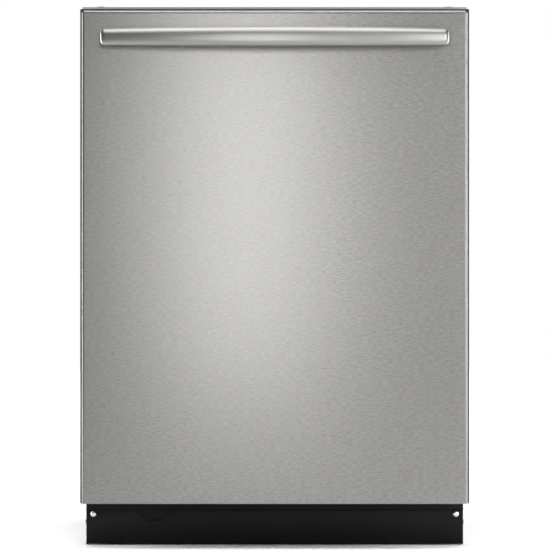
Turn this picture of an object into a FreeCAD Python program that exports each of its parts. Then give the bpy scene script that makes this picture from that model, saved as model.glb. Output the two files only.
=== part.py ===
import FreeCAD, Part
import os
import re
import Sketcher

# Built-in dishwasher, 606 mm wide, for a 610 mm opening under a countertop.
# Frame: origin at the middle of the footprint on the floor, +Z up, +X to the right
# when facing the door, and the door faces -Y.  Millimetres throughout.
#
# A flat steel door with a bowed bar handle closes a steel tub that stands on a low
# base with four levelling legs.  Two racks, three spray arms, the filter, the float
# and the heater are inside the tub; pumps, valve and junction box are under it.

V = FreeCAD.Vector
doc = FreeCAD.newDocument("Dishwasher")

# ---------------------------------------------------------------- driving dimensions
SIZES = {
    # overall
    "body_width": 606,       # door and front frame
    "body_depth": 610,       # door face to the rear of the base
    "top_height": 850,       # floor to the top of the front frame, legs wound in
    "sheet": 1.0,            # steel sheet of tub and door
    # door
    "door_base": 71,         # floor to the door's lower edge
    "door_top_gap": 8,       # strip of the frame that shows above the door
    "door_thick": 55,        # outer face to inner face
    "door_corner": 4,        # radius of the outer panel's upper corners
    "door_return": 20,       # depth of the outer panel's folded sides
    "door_lip": 6,           # depth of the outer panel's folded top
    "door_gap": 2,           # inner panel to the front frame, door shut
    "inner_inset": 3,        # inner panel's sides in from the outer panel's
    "inner_rise": 2,         # inner panel's lower edge above the tub's
    "console_tall": 37,      # control console, top of the door
    "console_gap": 0.5,
    "hinge_setback": 38,     # door face to the hinge axis
    "hinge_height": 103,
    "hinge_pin": 4,          # radius
    "pin_play": 0.05,        # radial clearance of every pin in its bore
    # handle
    "handle_reach": 52,      # door face to the front of the bar, middle
    "handle_end_gap": 33,    # door side to the end of the bar
    "handle_drop": 46.5,     # door top to the middle of the bar
    "handle_tall": 32,       # bar section, middle
    "handle_end_tall": 27,   # bar section, ends
    "handle_deep": 20,
    "handle_bow": 14,        # how far the middle stands out past the ends
    "post_inset": 16,        # handle end to the middle of its post
    "post_width": 16,
    "screw_shank": 2.4,
    "screw_head": 4.5,
    # front frame and gasket
    "frame_sheet": 1.5,
    "frame_side": 22,
    "frame_top": 38,
    "gasket_wide": 9.3,
    "gasket_deep": 14,
    # tub
    "tub_side_gap": 17,      # front frame's side to the tub's
    "tub_base": 132,
    "tub_drop": 32,          # frame top to tub top
    "rear_space": 24,        # tub rear to the rear of the base
    "ledge_wide": 31,
    "ledge_tall": 16.8,
    "blanket_thick": 9,
    "blanket_gap": 0.4,      # tub to blanket, and one panel of it to the next
    "float_inset": 96,       # tub side to the middle of the float
    # base and toe kick
    "rail_side_gap": 7,      # front frame's side to the side rail
    "base_bottom": 26,
    "base_sheet": 1.5,
    "base_flange": 32,
    "kick_recess": 76,       # door face to toe kick
    "kick_side_gap": 4.5,    # front frame's side to the toe kick's
    "kick_top": 98,
    "kick_bottom": 1.5,
    "kick_return": 18,
    "vent_offset": 193,
    "vent_height": 60,
    "vent_size": 23,         # radius
    "bracket_inset": 29,     # front frame's side to the countertop bracket
    "leg_inset": 16,         # side rail to the middle of a leg
    "leg_radius": 5,
    "foot_radius": 16,
    "foot_thick": 8,
    # racks
    "wire": 2,               # radius of every rack wire
    "rack_gap": 16,          # inner panel to rack front
    "pipe_room": 18,         # rack rear to the tub's rear wall
    "lower_side_gap": 30,    # tub side to the middle of the rack's side wires
    "lower_floor_rise": 49,  # tub floor to rack floor
    "lower_tall": 148,       # rack floor to rim
    "lower_tine": 100,
    "upper_side_gap": 34,
    "upper_floor_drop": 296,  # tub top to rack floor
    "upper_tall": 128,
    "upper_tine": 66,
    "shelf_rise": 90,        # rack floor to the cup shelves
    "shelf_wide": 76,
    "basket_side_gap": 30,   # rack side to cutlery basket
    "basket_wide": 96,
    "basket_long": 220,
    "basket_tall": 124,
    "basket_wall": 3,
    "wheel_radius": 17,
    "wheel_wide": 6,
    "wheel_pin": 3,
    "roller_radius": 10,
    "roller_wide": 7,
    "roller_rise": 38,       # rack floor to the rollers' axis
    "rail_sheet": 1.2,
    # water parts
    "arm_wall_gap": 38.75,   # nearest tub wall to the long arms' tips
    "top_arm_radius": 150,
    "arm_wide": 34,
    "arm_thick": 12,
    "arm_pin": 8,
    "lower_arm_rise": 18,    # tub floor to the lower arm
    "pipe_clear": 2.4,       # between a feed pipe and what is over it
    "filter_x": 70,
    "filter_ahead": 75,      # filter in front of the tub's middle
    "filter_radius": 35,
    "sump_radius": 60,
    "heater_inset": 35,      # the long arms' tips to the heater's middle line
    "heater_tube": 4,
    "pipe_radius": 7,
    "valve_inset": 80,       # side rail to the middle of valve and junction box
    "drain_reach": 60,       # drain pump's axis to the end of its spigot
    "drain_boss": 29,        # drain pump's axis to the face of the spigot's boss
    "drain_radius": 9.5,
    # door fittings
    "dispenser_x": 60,
    "dispenser_height": 430,
    "dispenser_wide": 200,
    "dispenser_tall": 110,
    "dispenser_deep": 36,
    "pad_gap": 5.6,          # dispenser's back to the door's insulation
    "vent_x": -190,
    "dryer_height": 560,
    "dryer_radius": 26,
    "lid_wide": 106,
    "lid_tall": 86,
    "cap_radius": 18,
    "button_wide": 24,
    "button_deep": 12,
    "button_step": 40,
}

sheet = doc.addObject("Spreadsheet::Sheet", "dims")
for row, (alias, value) in enumerate(SIZES.items(), start=1):
    sheet.set(f"A{row}", alias.replace("_", " "))
    sheet.set(f"B{row}", str(value))
    sheet.setAlias(f"B{row}", alias)
doc.recompute()

# ------------------------------------------------------------------- shared formulas
HALF = "(body_width / 2)"
FACE = "((handle_reach - body_depth) / 2)"           # door's outer face
REAR = "((handle_reach + body_depth) / 2)"           # rear of the base
INNER = f"({FACE} + door_thick)"                     # door's inner face
HINGE_Y = f"({FACE} + hinge_setback)"
KICK_Y = f"({FACE} + kick_recess)"
FRAME_Y = f"({INNER} + door_gap)"                    # front of the front frame
TUB_Y = f"({FRAME_Y} + frame_sheet)"                 # front edge of the tub
TUB_REAR = f"({REAR} - rear_space)"
TUB_HALF = f"({HALF} - tub_side_gap)"
TUB_TOP = "(top_height - tub_drop)"
TUB_MID = f"(({TUB_Y} + {TUB_REAR}) / 2)"
DOOR_TOP = "(top_height - door_top_gap)"
CONSOLE_Z = f"({DOOR_TOP} - sheet - console_tall)"
INNER_HALF = f"({HALF} - inner_inset)"
RAIL_HALF = f"({HALF} - rail_side_gap)"
KICK_HALF = f"({HALF} - kick_side_gap)"
RACK_Y = f"({INNER} + rack_gap)"
RACK_REAR = f"({TUB_REAR} - sheet - pipe_room)"
FLOOR_Z = "(tub_base + sheet)"                       # upper face of the tub floor
LEDGE_Z = f"({FLOOR_Z} + ledge_tall)"
WELD = "(wire * 1.3)"        # between the middles of two wires welded across each other
LIFT_Z = f"({TUB_TOP} - sheet - 2 - pipe_radius)"    # feed pipe over the ceiling arm
FEED_Z = f"(upper_floor - {WELD} - wire - pipe_clear - pipe_radius)"
FILTER_Y = f"({TUB_MID} - filter_ahead)"
PIPE_Y = f"({TUB_REAR} - sheet - 10)"
PUMP_Z = "(base_bottom + 54)"
LEG_X = f"({RAIL_HALF} - leg_inset)"
LEG_Y = (f"({KICK_Y} + 44)", f"({REAR} - 36)")
KICK_SCREW_X = f"({KICK_HALF} - 11.5)"
KICK_SCREW_Z = "(kick_top - 49)"
BRACKET_X = f"({HALF} - bracket_inset)"
VALVE_X = f"({RAIL_HALF} - valve_inset)"
DRAIN_X = "(filter_x + sump_radius + 50)"
LOWER_AXLE = f"({LEDGE_Z} + wheel_radius + 0.4)"
LOWER_WHEELS = {"front": f"({RACK_Y} + 90)", "middle": f"(({RACK_Y} + {RACK_REAR}) / 2 + 24)",
                "rear": f"({RACK_REAR} - 40)"}
UPPER_ROLLERS = {"front": f"({RACK_Y} + 60)", "rear": f"({RACK_REAR} - 24)"}
BASKET_X = "(lower_half - basket_side_gap - basket_wide)"
POST_X = f"({HALF} - handle_end_gap - post_inset)"
PIVOT = (f"({INNER} - 16)", "(top_height - 21)")     # latch hook's axis

# sizes that follow from the driving ones
FOLLOWING = {
    "inner_base": "tub_base + inner_rise",
    "handle_length": f"2 * ({HALF} - handle_end_gap)",
    "handle_height": f"{DOOR_TOP} - handle_drop",
    "lower_half": f"{TUB_HALF} - lower_side_gap",
    "upper_half": f"{TUB_HALF} - upper_side_gap",
    "lower_floor": f"{FLOOR_Z} + lower_floor_rise",
    "upper_floor": f"{TUB_TOP} - upper_floor_drop",
    "lower_rim": "lower_floor + lower_tall",
    "upper_rim": "upper_floor + upper_tall",
    "roller_height": "upper_floor + roller_rise",
    "lower_arm": f"{FLOOR_Z} + lower_arm_rise",
    "middle_arm": f"{FEED_Z} - 12 - arm_thick",
    "top_arm": f"{LIFT_Z} - 10 - arm_thick",
    "arm_radius": f"min({TUB_HALF}; ({TUB_REAR} - {TUB_Y}) / 2) - arm_wall_gap",
    "heater_ring": "arm_radius - heater_inset",
}


# -------------------------------------------------------------------------- helpers
def formula(text):
    """Turn the names inside a text or a number into an expression of the sheet's cells."""
    def spell(word):
        name = word[0]
        if name in FOLLOWING:
            return f"({formula(FOLLOWING[name])})"
        return f"dims.{name}" if name in SIZES else name
    return re.sub(r"[a-z][a-z_]*[a-z]", spell, str(text))


def bind(thing, place, text):
    """Bind one property of an object to a formula of the sheet."""
    thing.setExpression(place, formula(text))


def put(thing, x, y, z):
    """Bind an object's place."""
    for axis, text in (("x", x), ("y", y), ("z", z)):
        bind(thing, f"Placement.Base.{axis}", text)
    return thing


def block(name, x, y, z):
    """A box between two values on each axis."""
    box = doc.addObject("Part::Box", name)
    for size, (low, high) in (("Length", x), ("Width", y), ("Height", z)):
        bind(box, size, f"({high}) - ({low})")
    return put(box, x[0], y[0], z[0])


TURNS = {"x": FreeCAD.Rotation(V(0, 1, 0), 90),
         "y": FreeCAD.Rotation(V(1, 0, 0), -90),
         "z": FreeCAD.Rotation()}


def rod(name, axis, start, radius, length):
    """A round bar that runs from a start point along +X, +Y or +Z."""
    bar = doc.addObject("Part::Cylinder", name)
    bar.Placement = FreeCAD.Placement(V(), TURNS[axis])
    bind(bar, "Radius", radius)
    bind(bar, "Height", length)
    return put(bar, *start)


def join(name, pieces):
    """One solid of several."""
    whole = doc.addObject("Part::MultiFuse", name)
    whole.Shapes = pieces
    return whole


def cut(name, base, tools):
    """A solid less its tools."""
    rest = doc.addObject("Part::Cut", name)
    rest.Base = base
    rest.Tool = tools[0] if len(tools) == 1 else join(name + "_tools", tools)
    return rest


def group(name, pieces):
    """Separate solids that share one node."""
    several = doc.addObject("Part::Compound", name)
    several.Links = pieces
    return several


def mirrored(name, piece):
    """The same piece on the other side of the middle plane x = 0."""
    twin = doc.addObject("Part::Mirroring", name)
    twin.Source = piece
    twin.Normal = V(1, 0, 0)
    return twin


def pair(name, piece):
    """A piece and its mirror image in one node."""
    return group(name, [piece, mirrored(name + "_twin", piece)])


def rounded(name, piece, radius, wanted):
    """Round the edges of a piece that a test of their box and the whole box picks."""
    doc.recompute()
    whole = piece.Shape.BoundBox
    picked = [number for number, edge in enumerate(piece.Shape.Edges, start=1)
              if wanted(edge.BoundBox, whole)]
    smooth = doc.addObject("Part::Fillet", name)
    smooth.Base = piece
    smooth.Edges = [(number, radius, radius) for number in picked]
    return smooth


def extruded(name, plane, points, length, place, both=False):
    """A PartDesign body: a closed outline of straight lines on one plane, padded."""
    body = doc.addObject("PartDesign::Body", name)
    outline = body.newObject("Sketcher::SketchObject", name + "_outline")
    face = [item for item in body.Origin.OriginFeatures if item.Role == plane][0]
    outline.AttachmentSupport = [(face, "")]
    outline.MapMode = "FlatFace"
    count = len(points)
    values = [[sheet.evalExpression(formula(term)) for term in point] for point in points]
    for number in range(count):
        here = V(*values[number], 0)
        there = V(*values[(number + 1) % count], 0)
        outline.addGeometry(Part.LineSegment(here, there))
    for number in range(count):
        outline.addConstraint(Sketcher.Constraint("Coincident", number, 2, (number + 1) % count, 1))
    for number, point in enumerate(points):
        for kind, term, value in zip(("DistanceX", "DistanceY"), point, values[number]):
            index = outline.addConstraint(Sketcher.Constraint(kind, -1, 1, number, 1, value))
            outline.setExpression(f"Constraints[{index}]", formula(term))
    pad = body.newObject("PartDesign::Pad", name + "_pad")
    pad.Profile = outline
    pad.Midplane = both
    bind(pad, "Length", length)
    return put(body, *place)


NODES = {}


def node(name, piece):
    """Name a finished sub-part."""
    piece.Label = name
    NODES[name] = piece
    return piece


# ------------------------------------------------------------------------------ tub
def tub():
    """Steel wrapper, tub floor, front frame, gasket and the blanket round them."""
    outer = block("wrap_outer", (f"-{TUB_HALF}", TUB_HALF), (TUB_Y, TUB_REAR),
                  ("tub_base", TUB_TOP))
    inner = block("wrap_inner", (f"sheet - {TUB_HALF}", f"{TUB_HALF} - sheet"),
                  (f"{TUB_Y} - 1", f"{TUB_REAR} - sheet"), ("tub_base - 1", f"{TUB_TOP} - sheet"))
    node("tub_wrapper", cut("wrapper", outer, [inner]))

    half = f"({TUB_HALF} - sheet)"
    rear = f"({TUB_REAR} - sheet)"
    plate = block("floor_plate", (f"-{half}", half), (TUB_Y, rear), ("tub_base", FLOOR_Z))
    lip = block("floor_lip", (f"ledge_wide - {half}", f"{half} - ledge_wide"),
                (TUB_Y, f"{TUB_Y} + 3"), (FLOOR_Z, f"{FLOOR_Z} + 12"))
    ledge = block("ledge", (f"{half} - ledge_wide", half), (TUB_Y, rear), (FLOOR_Z, LEDGE_Z))
    hole = rod("sump_hole", "z", ("filter_x", f"{TUB_MID} - filter_ahead", "tub_base - 1"),
               "sump_radius - 3", "sheet + 2")
    feed = rod("feed_hole", "z", (0, f"{rear} - 10", "tub_base - 1"), "pipe_radius + 0.3",
               "sheet + 2")
    riser = rod("riser_hole", "z", (0, TUB_MID, "tub_base - 1"), "arm_pin + 4", "sheet + 2")
    solid = join("floor_solid", [plate, lip, ledge, mirrored("ledge_twin", ledge)])
    node("tub_floor", cut("floor", solid, [hole, feed, riser]))

    band = block("frame_band", (f"-{HALF}", HALF), (FRAME_Y, TUB_Y), ("inner_base", "top_height"))
    mouth = block("frame_mouth", (f"frame_side - {HALF}", f"{HALF} - frame_side"),
                  (f"{FRAME_Y} - 1", f"{TUB_Y} + 1"), ("inner_base - 1", "top_height - frame_top"))
    slot = block("strike_notch", (-16, 16), (f"{FRAME_Y} - 1", f"{TUB_Y} + 1"),
                 ("top_height - frame_top - 1", "top_height - 10"))
    node("tub_front_frame", cut("frame", band, [mouth, slot]))

    reach = f"({HALF} - frame_side - 0.2)"
    crown = "(top_height - frame_top - 0.2)"
    soft = (f"{INNER} + 0.6", f"{INNER} + 0.6 + gasket_deep")
    ring = block("gasket_ring", (f"-{reach}", reach), soft, (f"{LEDGE_Z} + 1", crown))
    gap = block("gasket_gap", (f"gasket_wide - {reach}", f"{reach} - gasket_wide"),
                (f"{INNER} - 1", f"{INNER} + gasket_deep + 2"), (LEDGE_Z, f"{crown} - gasket_wide"))
    node("door_gasket", cut("gasket", ring, [gap]))

    near = f"({TUB_HALF} + blanket_gap)"
    over = f"({TUB_TOP} + blanket_gap)"
    long = (f"{TUB_Y} + 30", f"{TUB_REAR} - 6")
    side = block("blanket_side", (near, f"{near} + blanket_thick"), long,
                 ("tub_base + 8", f"{over} - blanket_gap"))
    crown = block("blanket_crown", (f"-{near} - blanket_thick", f"{near} + blanket_thick"), long,
                  (over, f"{over} + blanket_thick"))
    back = block("blanket_back", (f"10 - {TUB_HALF}", f"{TUB_HALF} - 10"),
                 (f"{TUB_REAR} + blanket_gap", f"{TUB_REAR} + blanket_gap + blanket_thick"),
                 ("tub_base + 20", f"{TUB_TOP} - 6"))
    node("sound_blanket", group("blanket", [side, mirrored("blanket_twin", side), crown, back]))

    bar = rod("strike_bar", "x", (-14, f"{TUB_Y} + 8.5", "top_height - 27"), 3, 28)
    cheek = block("strike_cheek", (14, 17), (TUB_Y, f"{TUB_Y} + 14"),
                  ("top_height - 31.4", "top_height - 20"))
    node("strike_plate", join("strike", [bar, cheek, mirrored("cheek_twin", cheek)]))


# ----------------------------------------------------------------- base and toe kick
def base():
    """Side rails, cross rails, toe kick, hinge brackets, springs and screws."""
    web = block("rail_web", (f"{RAIL_HALF} - base_sheet", RAIL_HALF), (f"{KICK_Y} + 8", REAR),
                ("base_bottom", "tub_base"))
    flange = block("rail_flange", (f"{RAIL_HALF} - base_flange", RAIL_HALF),
                   (f"{KICK_Y} + 8", REAR), ("base_bottom", "base_bottom + base_sheet"))
    stems = [rod("stem_hole", "z", (LEG_X, place, "base_bottom - 1"), "leg_radius + pin_play",
                 "base_sheet + 2") for place in LEG_Y]
    rail = cut("rail", join("rail_solid", [web, flange]), stems)
    node("base_side_rails", pair("rails", rail))

    span = f"({RAIL_HALF} - base_sheet)"
    low = "(base_bottom + base_sheet)"
    rails = []
    for end, near in (("front", f"{KICK_Y} + 8"), ("rear", f"{REAR} - 20")):
        outline = [(near, low), (f"{near} + 18", low), (f"{near} + 18", f"{low} + base_sheet"),
                   (f"{near} + base_sheet", f"{low} + base_sheet"),
                   (f"{near} + base_sheet", "kick_top - base_sheet"),
                   (f"{near} + 18", "kick_top - base_sheet"), (f"{near} + 18", "kick_top"),
                   (near, "kick_top")]
        rails.append(extruded(f"cross_{end}", "YZ_Plane", outline, f"2 * {span}", (0, 0, 0), True))
    window = block("hose_window", (f"{DRAIN_X} - 20", f"{VALVE_X} + 20"),
                   (f"{REAR} - 21", f"{REAR} - 17"), (f"{PUMP_Z} - 24", f"{PUMP_Z} + 12.5"))
    node("base_cross_rails", group("crosses", [rails[0], cut("rear_rail", rails[1], [window])]))

    front = block("kick_front", (f"-{KICK_HALF}", KICK_HALF), (KICK_Y, f"{KICK_Y} + 1.2"),
                  ("kick_bottom", "kick_top"))
    side = block("kick_side", (f"{KICK_HALF} - 1.2", KICK_HALF),
                 (KICK_Y, f"{KICK_Y} + kick_return"), ("kick_bottom", "kick_top"))
    fold = block("kick_fold", (f"-{KICK_HALF}", KICK_HALF), (KICK_Y, f"{KICK_Y} + 7"),
                 ("kick_top - 1.2", "kick_top"))
    slots = []
    for step in range(-3, 4):
        reach = (1 - (step / 4) ** 2) ** 0.5
        slots.append(block("vent_slot",
                           (f"-vent_offset - vent_size * {reach:.3f}",
                            f"-vent_offset + vent_size * {reach:.3f}"),
                           (f"{KICK_Y} - 1", f"{KICK_Y} + 3"),
                           (f"vent_height + vent_size * {step / 4} - 1.6",
                            f"vent_height + vent_size * {step / 4} + 1.6")))
    holes = [rod("kick_hole", "y", (f"{sign}({KICK_SCREW_X})", f"{KICK_Y} - 1", KICK_SCREW_Z),
                 "screw_shank", 3) for sign in ("-", "")]
    pan = join("kick_solid", [front, side, mirrored("kick_side_twin", side), fold])
    node("toe_kick_panel", cut("kick", pan, slots + holes))

    screws = []
    for sign in ("-", ""):
        place = (f"{sign}({KICK_SCREW_X})", f"{KICK_Y} - 1.8", KICK_SCREW_Z)
        screws.append(join("kick_screw", [rod("kick_head", "y", place, "screw_head", 1.8),
                                          rod("kick_shank", "y", place, "screw_shank", 7)]))
    edge = rod("side_head", "x", (KICK_HALF, f"{KICK_Y} + 5", "base_bottom + 10"), 4, 1.4)
    top = rod("bracket_head", "z", (BRACKET_X, f"{TUB_Y} + 6", "top_height + 1"), 3.5, 0.5)
    screws += [edge, mirrored("side_head_twin", edge), top, mirrored("bracket_head_twin", top)]
    node("case_screws", group("screws", screws))

    leg = block("bracket_leg", (f"{BRACKET_X} - 5.5", f"{BRACKET_X} + 5.5"),
                (TUB_Y, f"{TUB_Y} + 1.5"), ("top_height - 14", "top_height + 1"))
    tab = block("bracket_tab", (f"{BRACKET_X} - 5.5", f"{BRACKET_X} + 5.5"),
                (TUB_Y, f"{TUB_Y} + 32"), ("top_height - 0.5", "top_height + 1"))
    bore = rod("bracket_bore", "z", (BRACKET_X, f"{TUB_Y} + 22", "top_height - 2"), 2.6, 5)
    bracket = cut("bracket", join("bracket_solid", [leg, tab]), [bore])
    node("countertop_brackets", pair("brackets", bracket))

    cheek = f"({RAIL_HALF} - base_sheet)"
    eye = rod("bracket_eye", "x", (f"{cheek} - 5.5", HINGE_Y, "hinge_height"), 14, 3)
    arm = block("bracket_arm", (f"{cheek} - 5.5", f"{cheek} - 2.5"), (HINGE_Y, f"{KICK_Y} + 60"),
                ("kick_top + 1", "kick_top + 27"))
    foot = block("bracket_foot", (f"{cheek} - 5.5", cheek), (f"{KICK_Y} + 12", f"{KICK_Y} + 60"),
                 ("kick_top + 1", "kick_top + 27"))
    pin = rod("bracket_pin", "x", (f"{cheek} - 14", HINGE_Y, "hinge_height"), "hinge_pin", 9)
    node("hinge_brackets", pair("hinge_pair", join("hinge_bracket", [eye, arm, foot, pin])))

    coil = rod("spring_coil", "y", (f"{RAIL_HALF} - 34", f"{KICK_Y} + 70", "kick_top - 18"), 9, 190)
    node("door_springs", pair("springs", coil))

    for end, place in zip(("front", "rear"), LEG_Y):
        for name, sign in (("left", "-"), ("right", "")):
            spot = (f"{sign}({LEG_X})", place)
            foot = rod("leg_foot", "z", (*spot, 0), "foot_radius", "foot_thick")
            nut = rod("leg_hex", "z", (*spot, "foot_thick"), 9, 6)
            stem = rod("leg_stem", "z", (*spot, "foot_thick"), "leg_radius", 82)
            node(f"leveling_leg_{end}_{name}", join(f"leg_{end}_{name}", [foot, nut, stem]))


# ------------------------------------------------------------------------ water parts

def water():
    """Sump, pumps, valve, heater, feed pipe, filters, float and spray arms."""
    under = "(tub_base - 0.2)"
    bowl = rod("sump_outer", "z", ("filter_x", FILTER_Y, "base_bottom + 22"), "sump_radius",
               f"{under} - base_bottom - 22")
    hollow = rod("sump_inner", "z", ("filter_x", FILTER_Y, "base_bottom + 25"), "sump_radius - 3",
                 "tub_base")
    drain = rod("drain_pump", "x", ("filter_x + sump_radius - 4", FILTER_Y, PUMP_Z), 26, 74)
    boss = rod("drain_boss", "y", (DRAIN_X, FILTER_Y, PUMP_Z), "drain_radius + 3.5", "drain_boss")
    spigot = rod("drain_spigot", "y", (DRAIN_X, FILTER_Y, PUMP_Z), "drain_radius", "drain_reach")
    solid = join("sump_solid", [bowl, drain, boss, spigot])
    node("sump_and_drain_pump", cut("sump", solid, [hollow]))

    motor = rod("pump_motor", "x", (-190, TUB_MID, "base_bottom + 48"), 38, 150)
    volute = rod("pump_volute", "x", (-44, TUB_MID, "base_bottom + 48"), 30, 60)
    riser = rod("pump_riser", "z", (0, TUB_MID, "base_bottom + 48"), "arm_pin + 3",
                "lower_arm - base_bottom - 48.4")
    tip = rod("pump_tip", "z", (0, TUB_MID, "base_bottom + 48"), "arm_pin",
              "lower_arm + arm_thick - base_bottom - 44")
    cap = rod("pump_cap", "z", (0, TUB_MID, "lower_arm + arm_thick + 0.4"), "arm_pin + 4", 4)
    node("circulation_pump", join("pump", [motor, volute, riser, tip, cap]))

    body = block("valve_body", (f"-{VALVE_X} - 20", f"20 - {VALVE_X}"),
                 (f"{KICK_Y} + 70", f"{KICK_Y} + 120"),
                 ("base_bottom + 44", "base_bottom + 84"))
    inlet = rod("valve_inlet", "z", (f"-{VALVE_X}", f"{KICK_Y} + 95", "base_bottom + 20"), 9.5, 26)
    outlet = rod("valve_outlet", "y", (f"-{VALVE_X}", f"{KICK_Y} + 118", "base_bottom + 64"), 6, 30)
    node("inlet_valve", join("valve", [body, inlet, outlet]))

    box = block("box_outer", (f"{VALVE_X} - 30", f"{VALVE_X} + 30"),
                (f"{KICK_Y} + 30", f"{KICK_Y} + 80"), ("base_bottom + 20", "base_bottom + 64"))
    room = block("box_inner", (f"{VALVE_X} - 28.5", f"{VALVE_X} + 28.5"),
                 (f"{KICK_Y} + 31.5", f"{KICK_Y} + 78.5"),
                 ("base_bottom + 21.5", "base_bottom + 62.5"))
    knock = rod("box_knockout", "y", (VALVE_X, f"{KICK_Y} + 77", "base_bottom + 42"), 11.1, 5)
    node("junction_box", cut("junction", box, [room, knock]))

    ring = doc.addObject("Part::Torus", "heater_loop")
    bind(ring, "Radius1", "heater_ring")
    bind(ring, "Radius2", "heater_tube")
    bind(ring, "Angle3", "330")
    ring.Placement = FreeCAD.Placement(V(), FreeCAD.Rotation(V(0, 0, 1), 105))
    put(ring, 0, TUB_MID, f"{FLOOR_Z} + heater_tube + 2")
    node("heating_element", ring)

    low = "(base_bottom + 92)"
    back = rod("pipe_back", "z", (0, PIPE_Y, low), "pipe_radius", f"{LIFT_Z} - {low}")
    run = rod("pipe_run", "y", (0, f"{TUB_MID} + arm_pin + 3.2", low), "pipe_radius",
              f"{PIPE_Y} - {TUB_MID} - arm_pin - 3.2")
    over = rod("pipe_over", "y", (0, TUB_MID, LIFT_Z), "pipe_radius", f"{PIPE_Y} - {TUB_MID}")
    drop = rod("pipe_drop", "z", (0, TUB_MID, "top_arm + arm_thick + 0.4"), "arm_pin + 4", 8)
    tail = rod("pipe_tail", "z", (0, TUB_MID, "top_arm - 2"), "arm_pin", "arm_thick + 6")
    stop = rod("pipe_stop", "z", (0, TUB_MID, "top_arm - 4.4"), "arm_pin + 4", 4)
    dock = rod("pipe_dock", "y", (0, f"{RACK_REAR} + 0.7", FEED_Z), "pipe_radius + 2",
               f"{PIPE_Y} - {RACK_REAR} - 0.7")
    node("water_feed_pipe", join("pipe", [back, run, over, drop, tail, stop, dock]))

    plate = block("filter_plate", ("filter_x - 62", "filter_x + 72"),
                  (f"{FILTER_Y} - 70", f"{FILTER_Y} + 62"), (FLOOR_Z, f"{FLOOR_Z} + 1.6"))
    hole = rod("filter_hole", "z", ("filter_x", FILTER_Y, "tub_base"), "filter_radius + 0.8", 10)
    clear = rod("riser_clear", "z", (0, TUB_MID, "tub_base"), "arm_pin + 8", 10)
    node("coarse_filter", cut("filter_sheet", plate, [hole, clear]))

    cup = rod("fine_outer", "z", ("filter_x", FILTER_Y, f"{FLOOR_Z} - 62"), "filter_radius", 64)
    well = rod("fine_inner", "z", ("filter_x", FILTER_Y, f"{FLOOR_Z} - 59"), "filter_radius - 2", 62)
    rim = rod("fine_rim", "z", ("filter_x", FILTER_Y, f"{FLOOR_Z} + 2"), "filter_radius + 4", 3)
    grip = block("fine_grip", ("filter_x - filter_radius", "filter_x + filter_radius"),
                 (f"{FILTER_Y} - 3", f"{FILTER_Y} + 3"), (f"{FLOOR_Z} + 3", f"{FLOOR_Z} + 14"))
    hollow_cup = cut("fine_cup", join("fine_solid", [cup, rim]), [well])
    node("fine_filter", join("fine", [hollow_cup, grip]))

    dome = rod("float_dome", "z", (f"float_inset - {TUB_HALF}", f"{TUB_Y} + 72",
                                   f"{FLOOR_Z} + 0.4"), 16, 24)
    node("float_cap", rounded("float", dome, 5, lambda edge, whole: edge.ZMin > whole.Center.z))

    spray_arm("lower_spray_arm", "arm_radius", "lower_arm")
    spray_arm("middle_spray_arm", "arm_radius", "middle_arm")
    spray_arm("ceiling_spray_arm", "top_arm_radius", "top_arm")


def spray_arm(name, reach, height):
    """Two round-ended blades on a hub, with a running bore for the pin."""
    blades = block(name + "_blade", (f"17 - {reach}", f"{reach} - 17"),
                   (f"{TUB_MID} - arm_wide / 2", f"{TUB_MID} + arm_wide / 2"),
                   (height, f"{height} + arm_thick"))
    ends = [rod(name + "_end", "z", (f"{sign}({reach} - 17)", TUB_MID, height), "arm_wide / 2",
                "arm_thick") for sign in ("-", "")]
    bore = rod(name + "_bore", "z", (0, TUB_MID, f"{height} - 1"), "arm_pin + pin_play",
               "arm_thick + 2")
    node(name, cut(name + "_cut", join(name + "_solid", [blades, *ends]), [bore]))


# ------------------------------------------------------------------------------ racks
def spaced(low, high, count, number):
    """The place of one of several evenly spaced wires, as a formula."""
    share = number / (count - 1)
    return f"(({low}) * {1 - share:.4f} + ({high}) * {share:.4f})"


def wire_basket(name, half, floor, rim, across, along):
    """Floor and four walls of a wire rack: five welded grilles, each one solid."""
    front = f"({RACK_Y} + {WELD} + wire)"
    rear = f"({RACK_REAR} - {WELD} - wire)"
    panels = []
    rods = [rod(name + "_long", "y", (spaced(f"14 - {half}", f"{half} - 14", across, number),
                                      f"{front} + wire", floor), "wire",
                f"{rear} - {front} - 2 * wire") for number in range(across)]
    rods += [rod(name + "_cross", "x", (f"wire - {half}",
                                        spaced(f"{front} + 14", f"{rear} - 14", along, number),
                                        f"{floor} - {WELD}"), "wire", f"2 * {half} - 2 * wire")
             for number in range(along)]
    panels.append(join(name + "_floor", rods))
    rise = f"({rim} - {floor})"
    for label, place, out in (("front", front, "-"), ("rear", rear, "+")):
        bars = [rod(name + "_rail", "x", (f"-{half}", place, f"{floor} + {rise} * {level}"), "wire",
                    f"2 * {half}") for level in (0, 0.5, 1)]
        bars += [rod(name + "_post", "z", (spaced(f"8 - {half}", f"{half} - 8", across, number),
                                           f"{place} {out} {WELD}", floor), "wire", rise)
                 for number in range(across)]
        panels.append(join(f"{name}_{label}", bars))
    bars = [rod(name + "_side_rail", "y", (half, f"{front} + wire",
                                           f"{floor} - {WELD} + {rise} * {level}"), "wire",
                f"{rear} - {front} - 2 * wire") for level in (0, 0.5, 1)]
    bars += [rod(name + "_side_post", "z", (f"{half} + {WELD}",
                                            spaced(f"{front} + 14", f"{rear} - 14", along, number),
                                            f"{floor} - {WELD}"), "wire", rise)
             for number in range(along)]
    side = join(name + "_side", bars)
    return panels + [side, mirrored(name + "_side_twin", side)]


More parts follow.
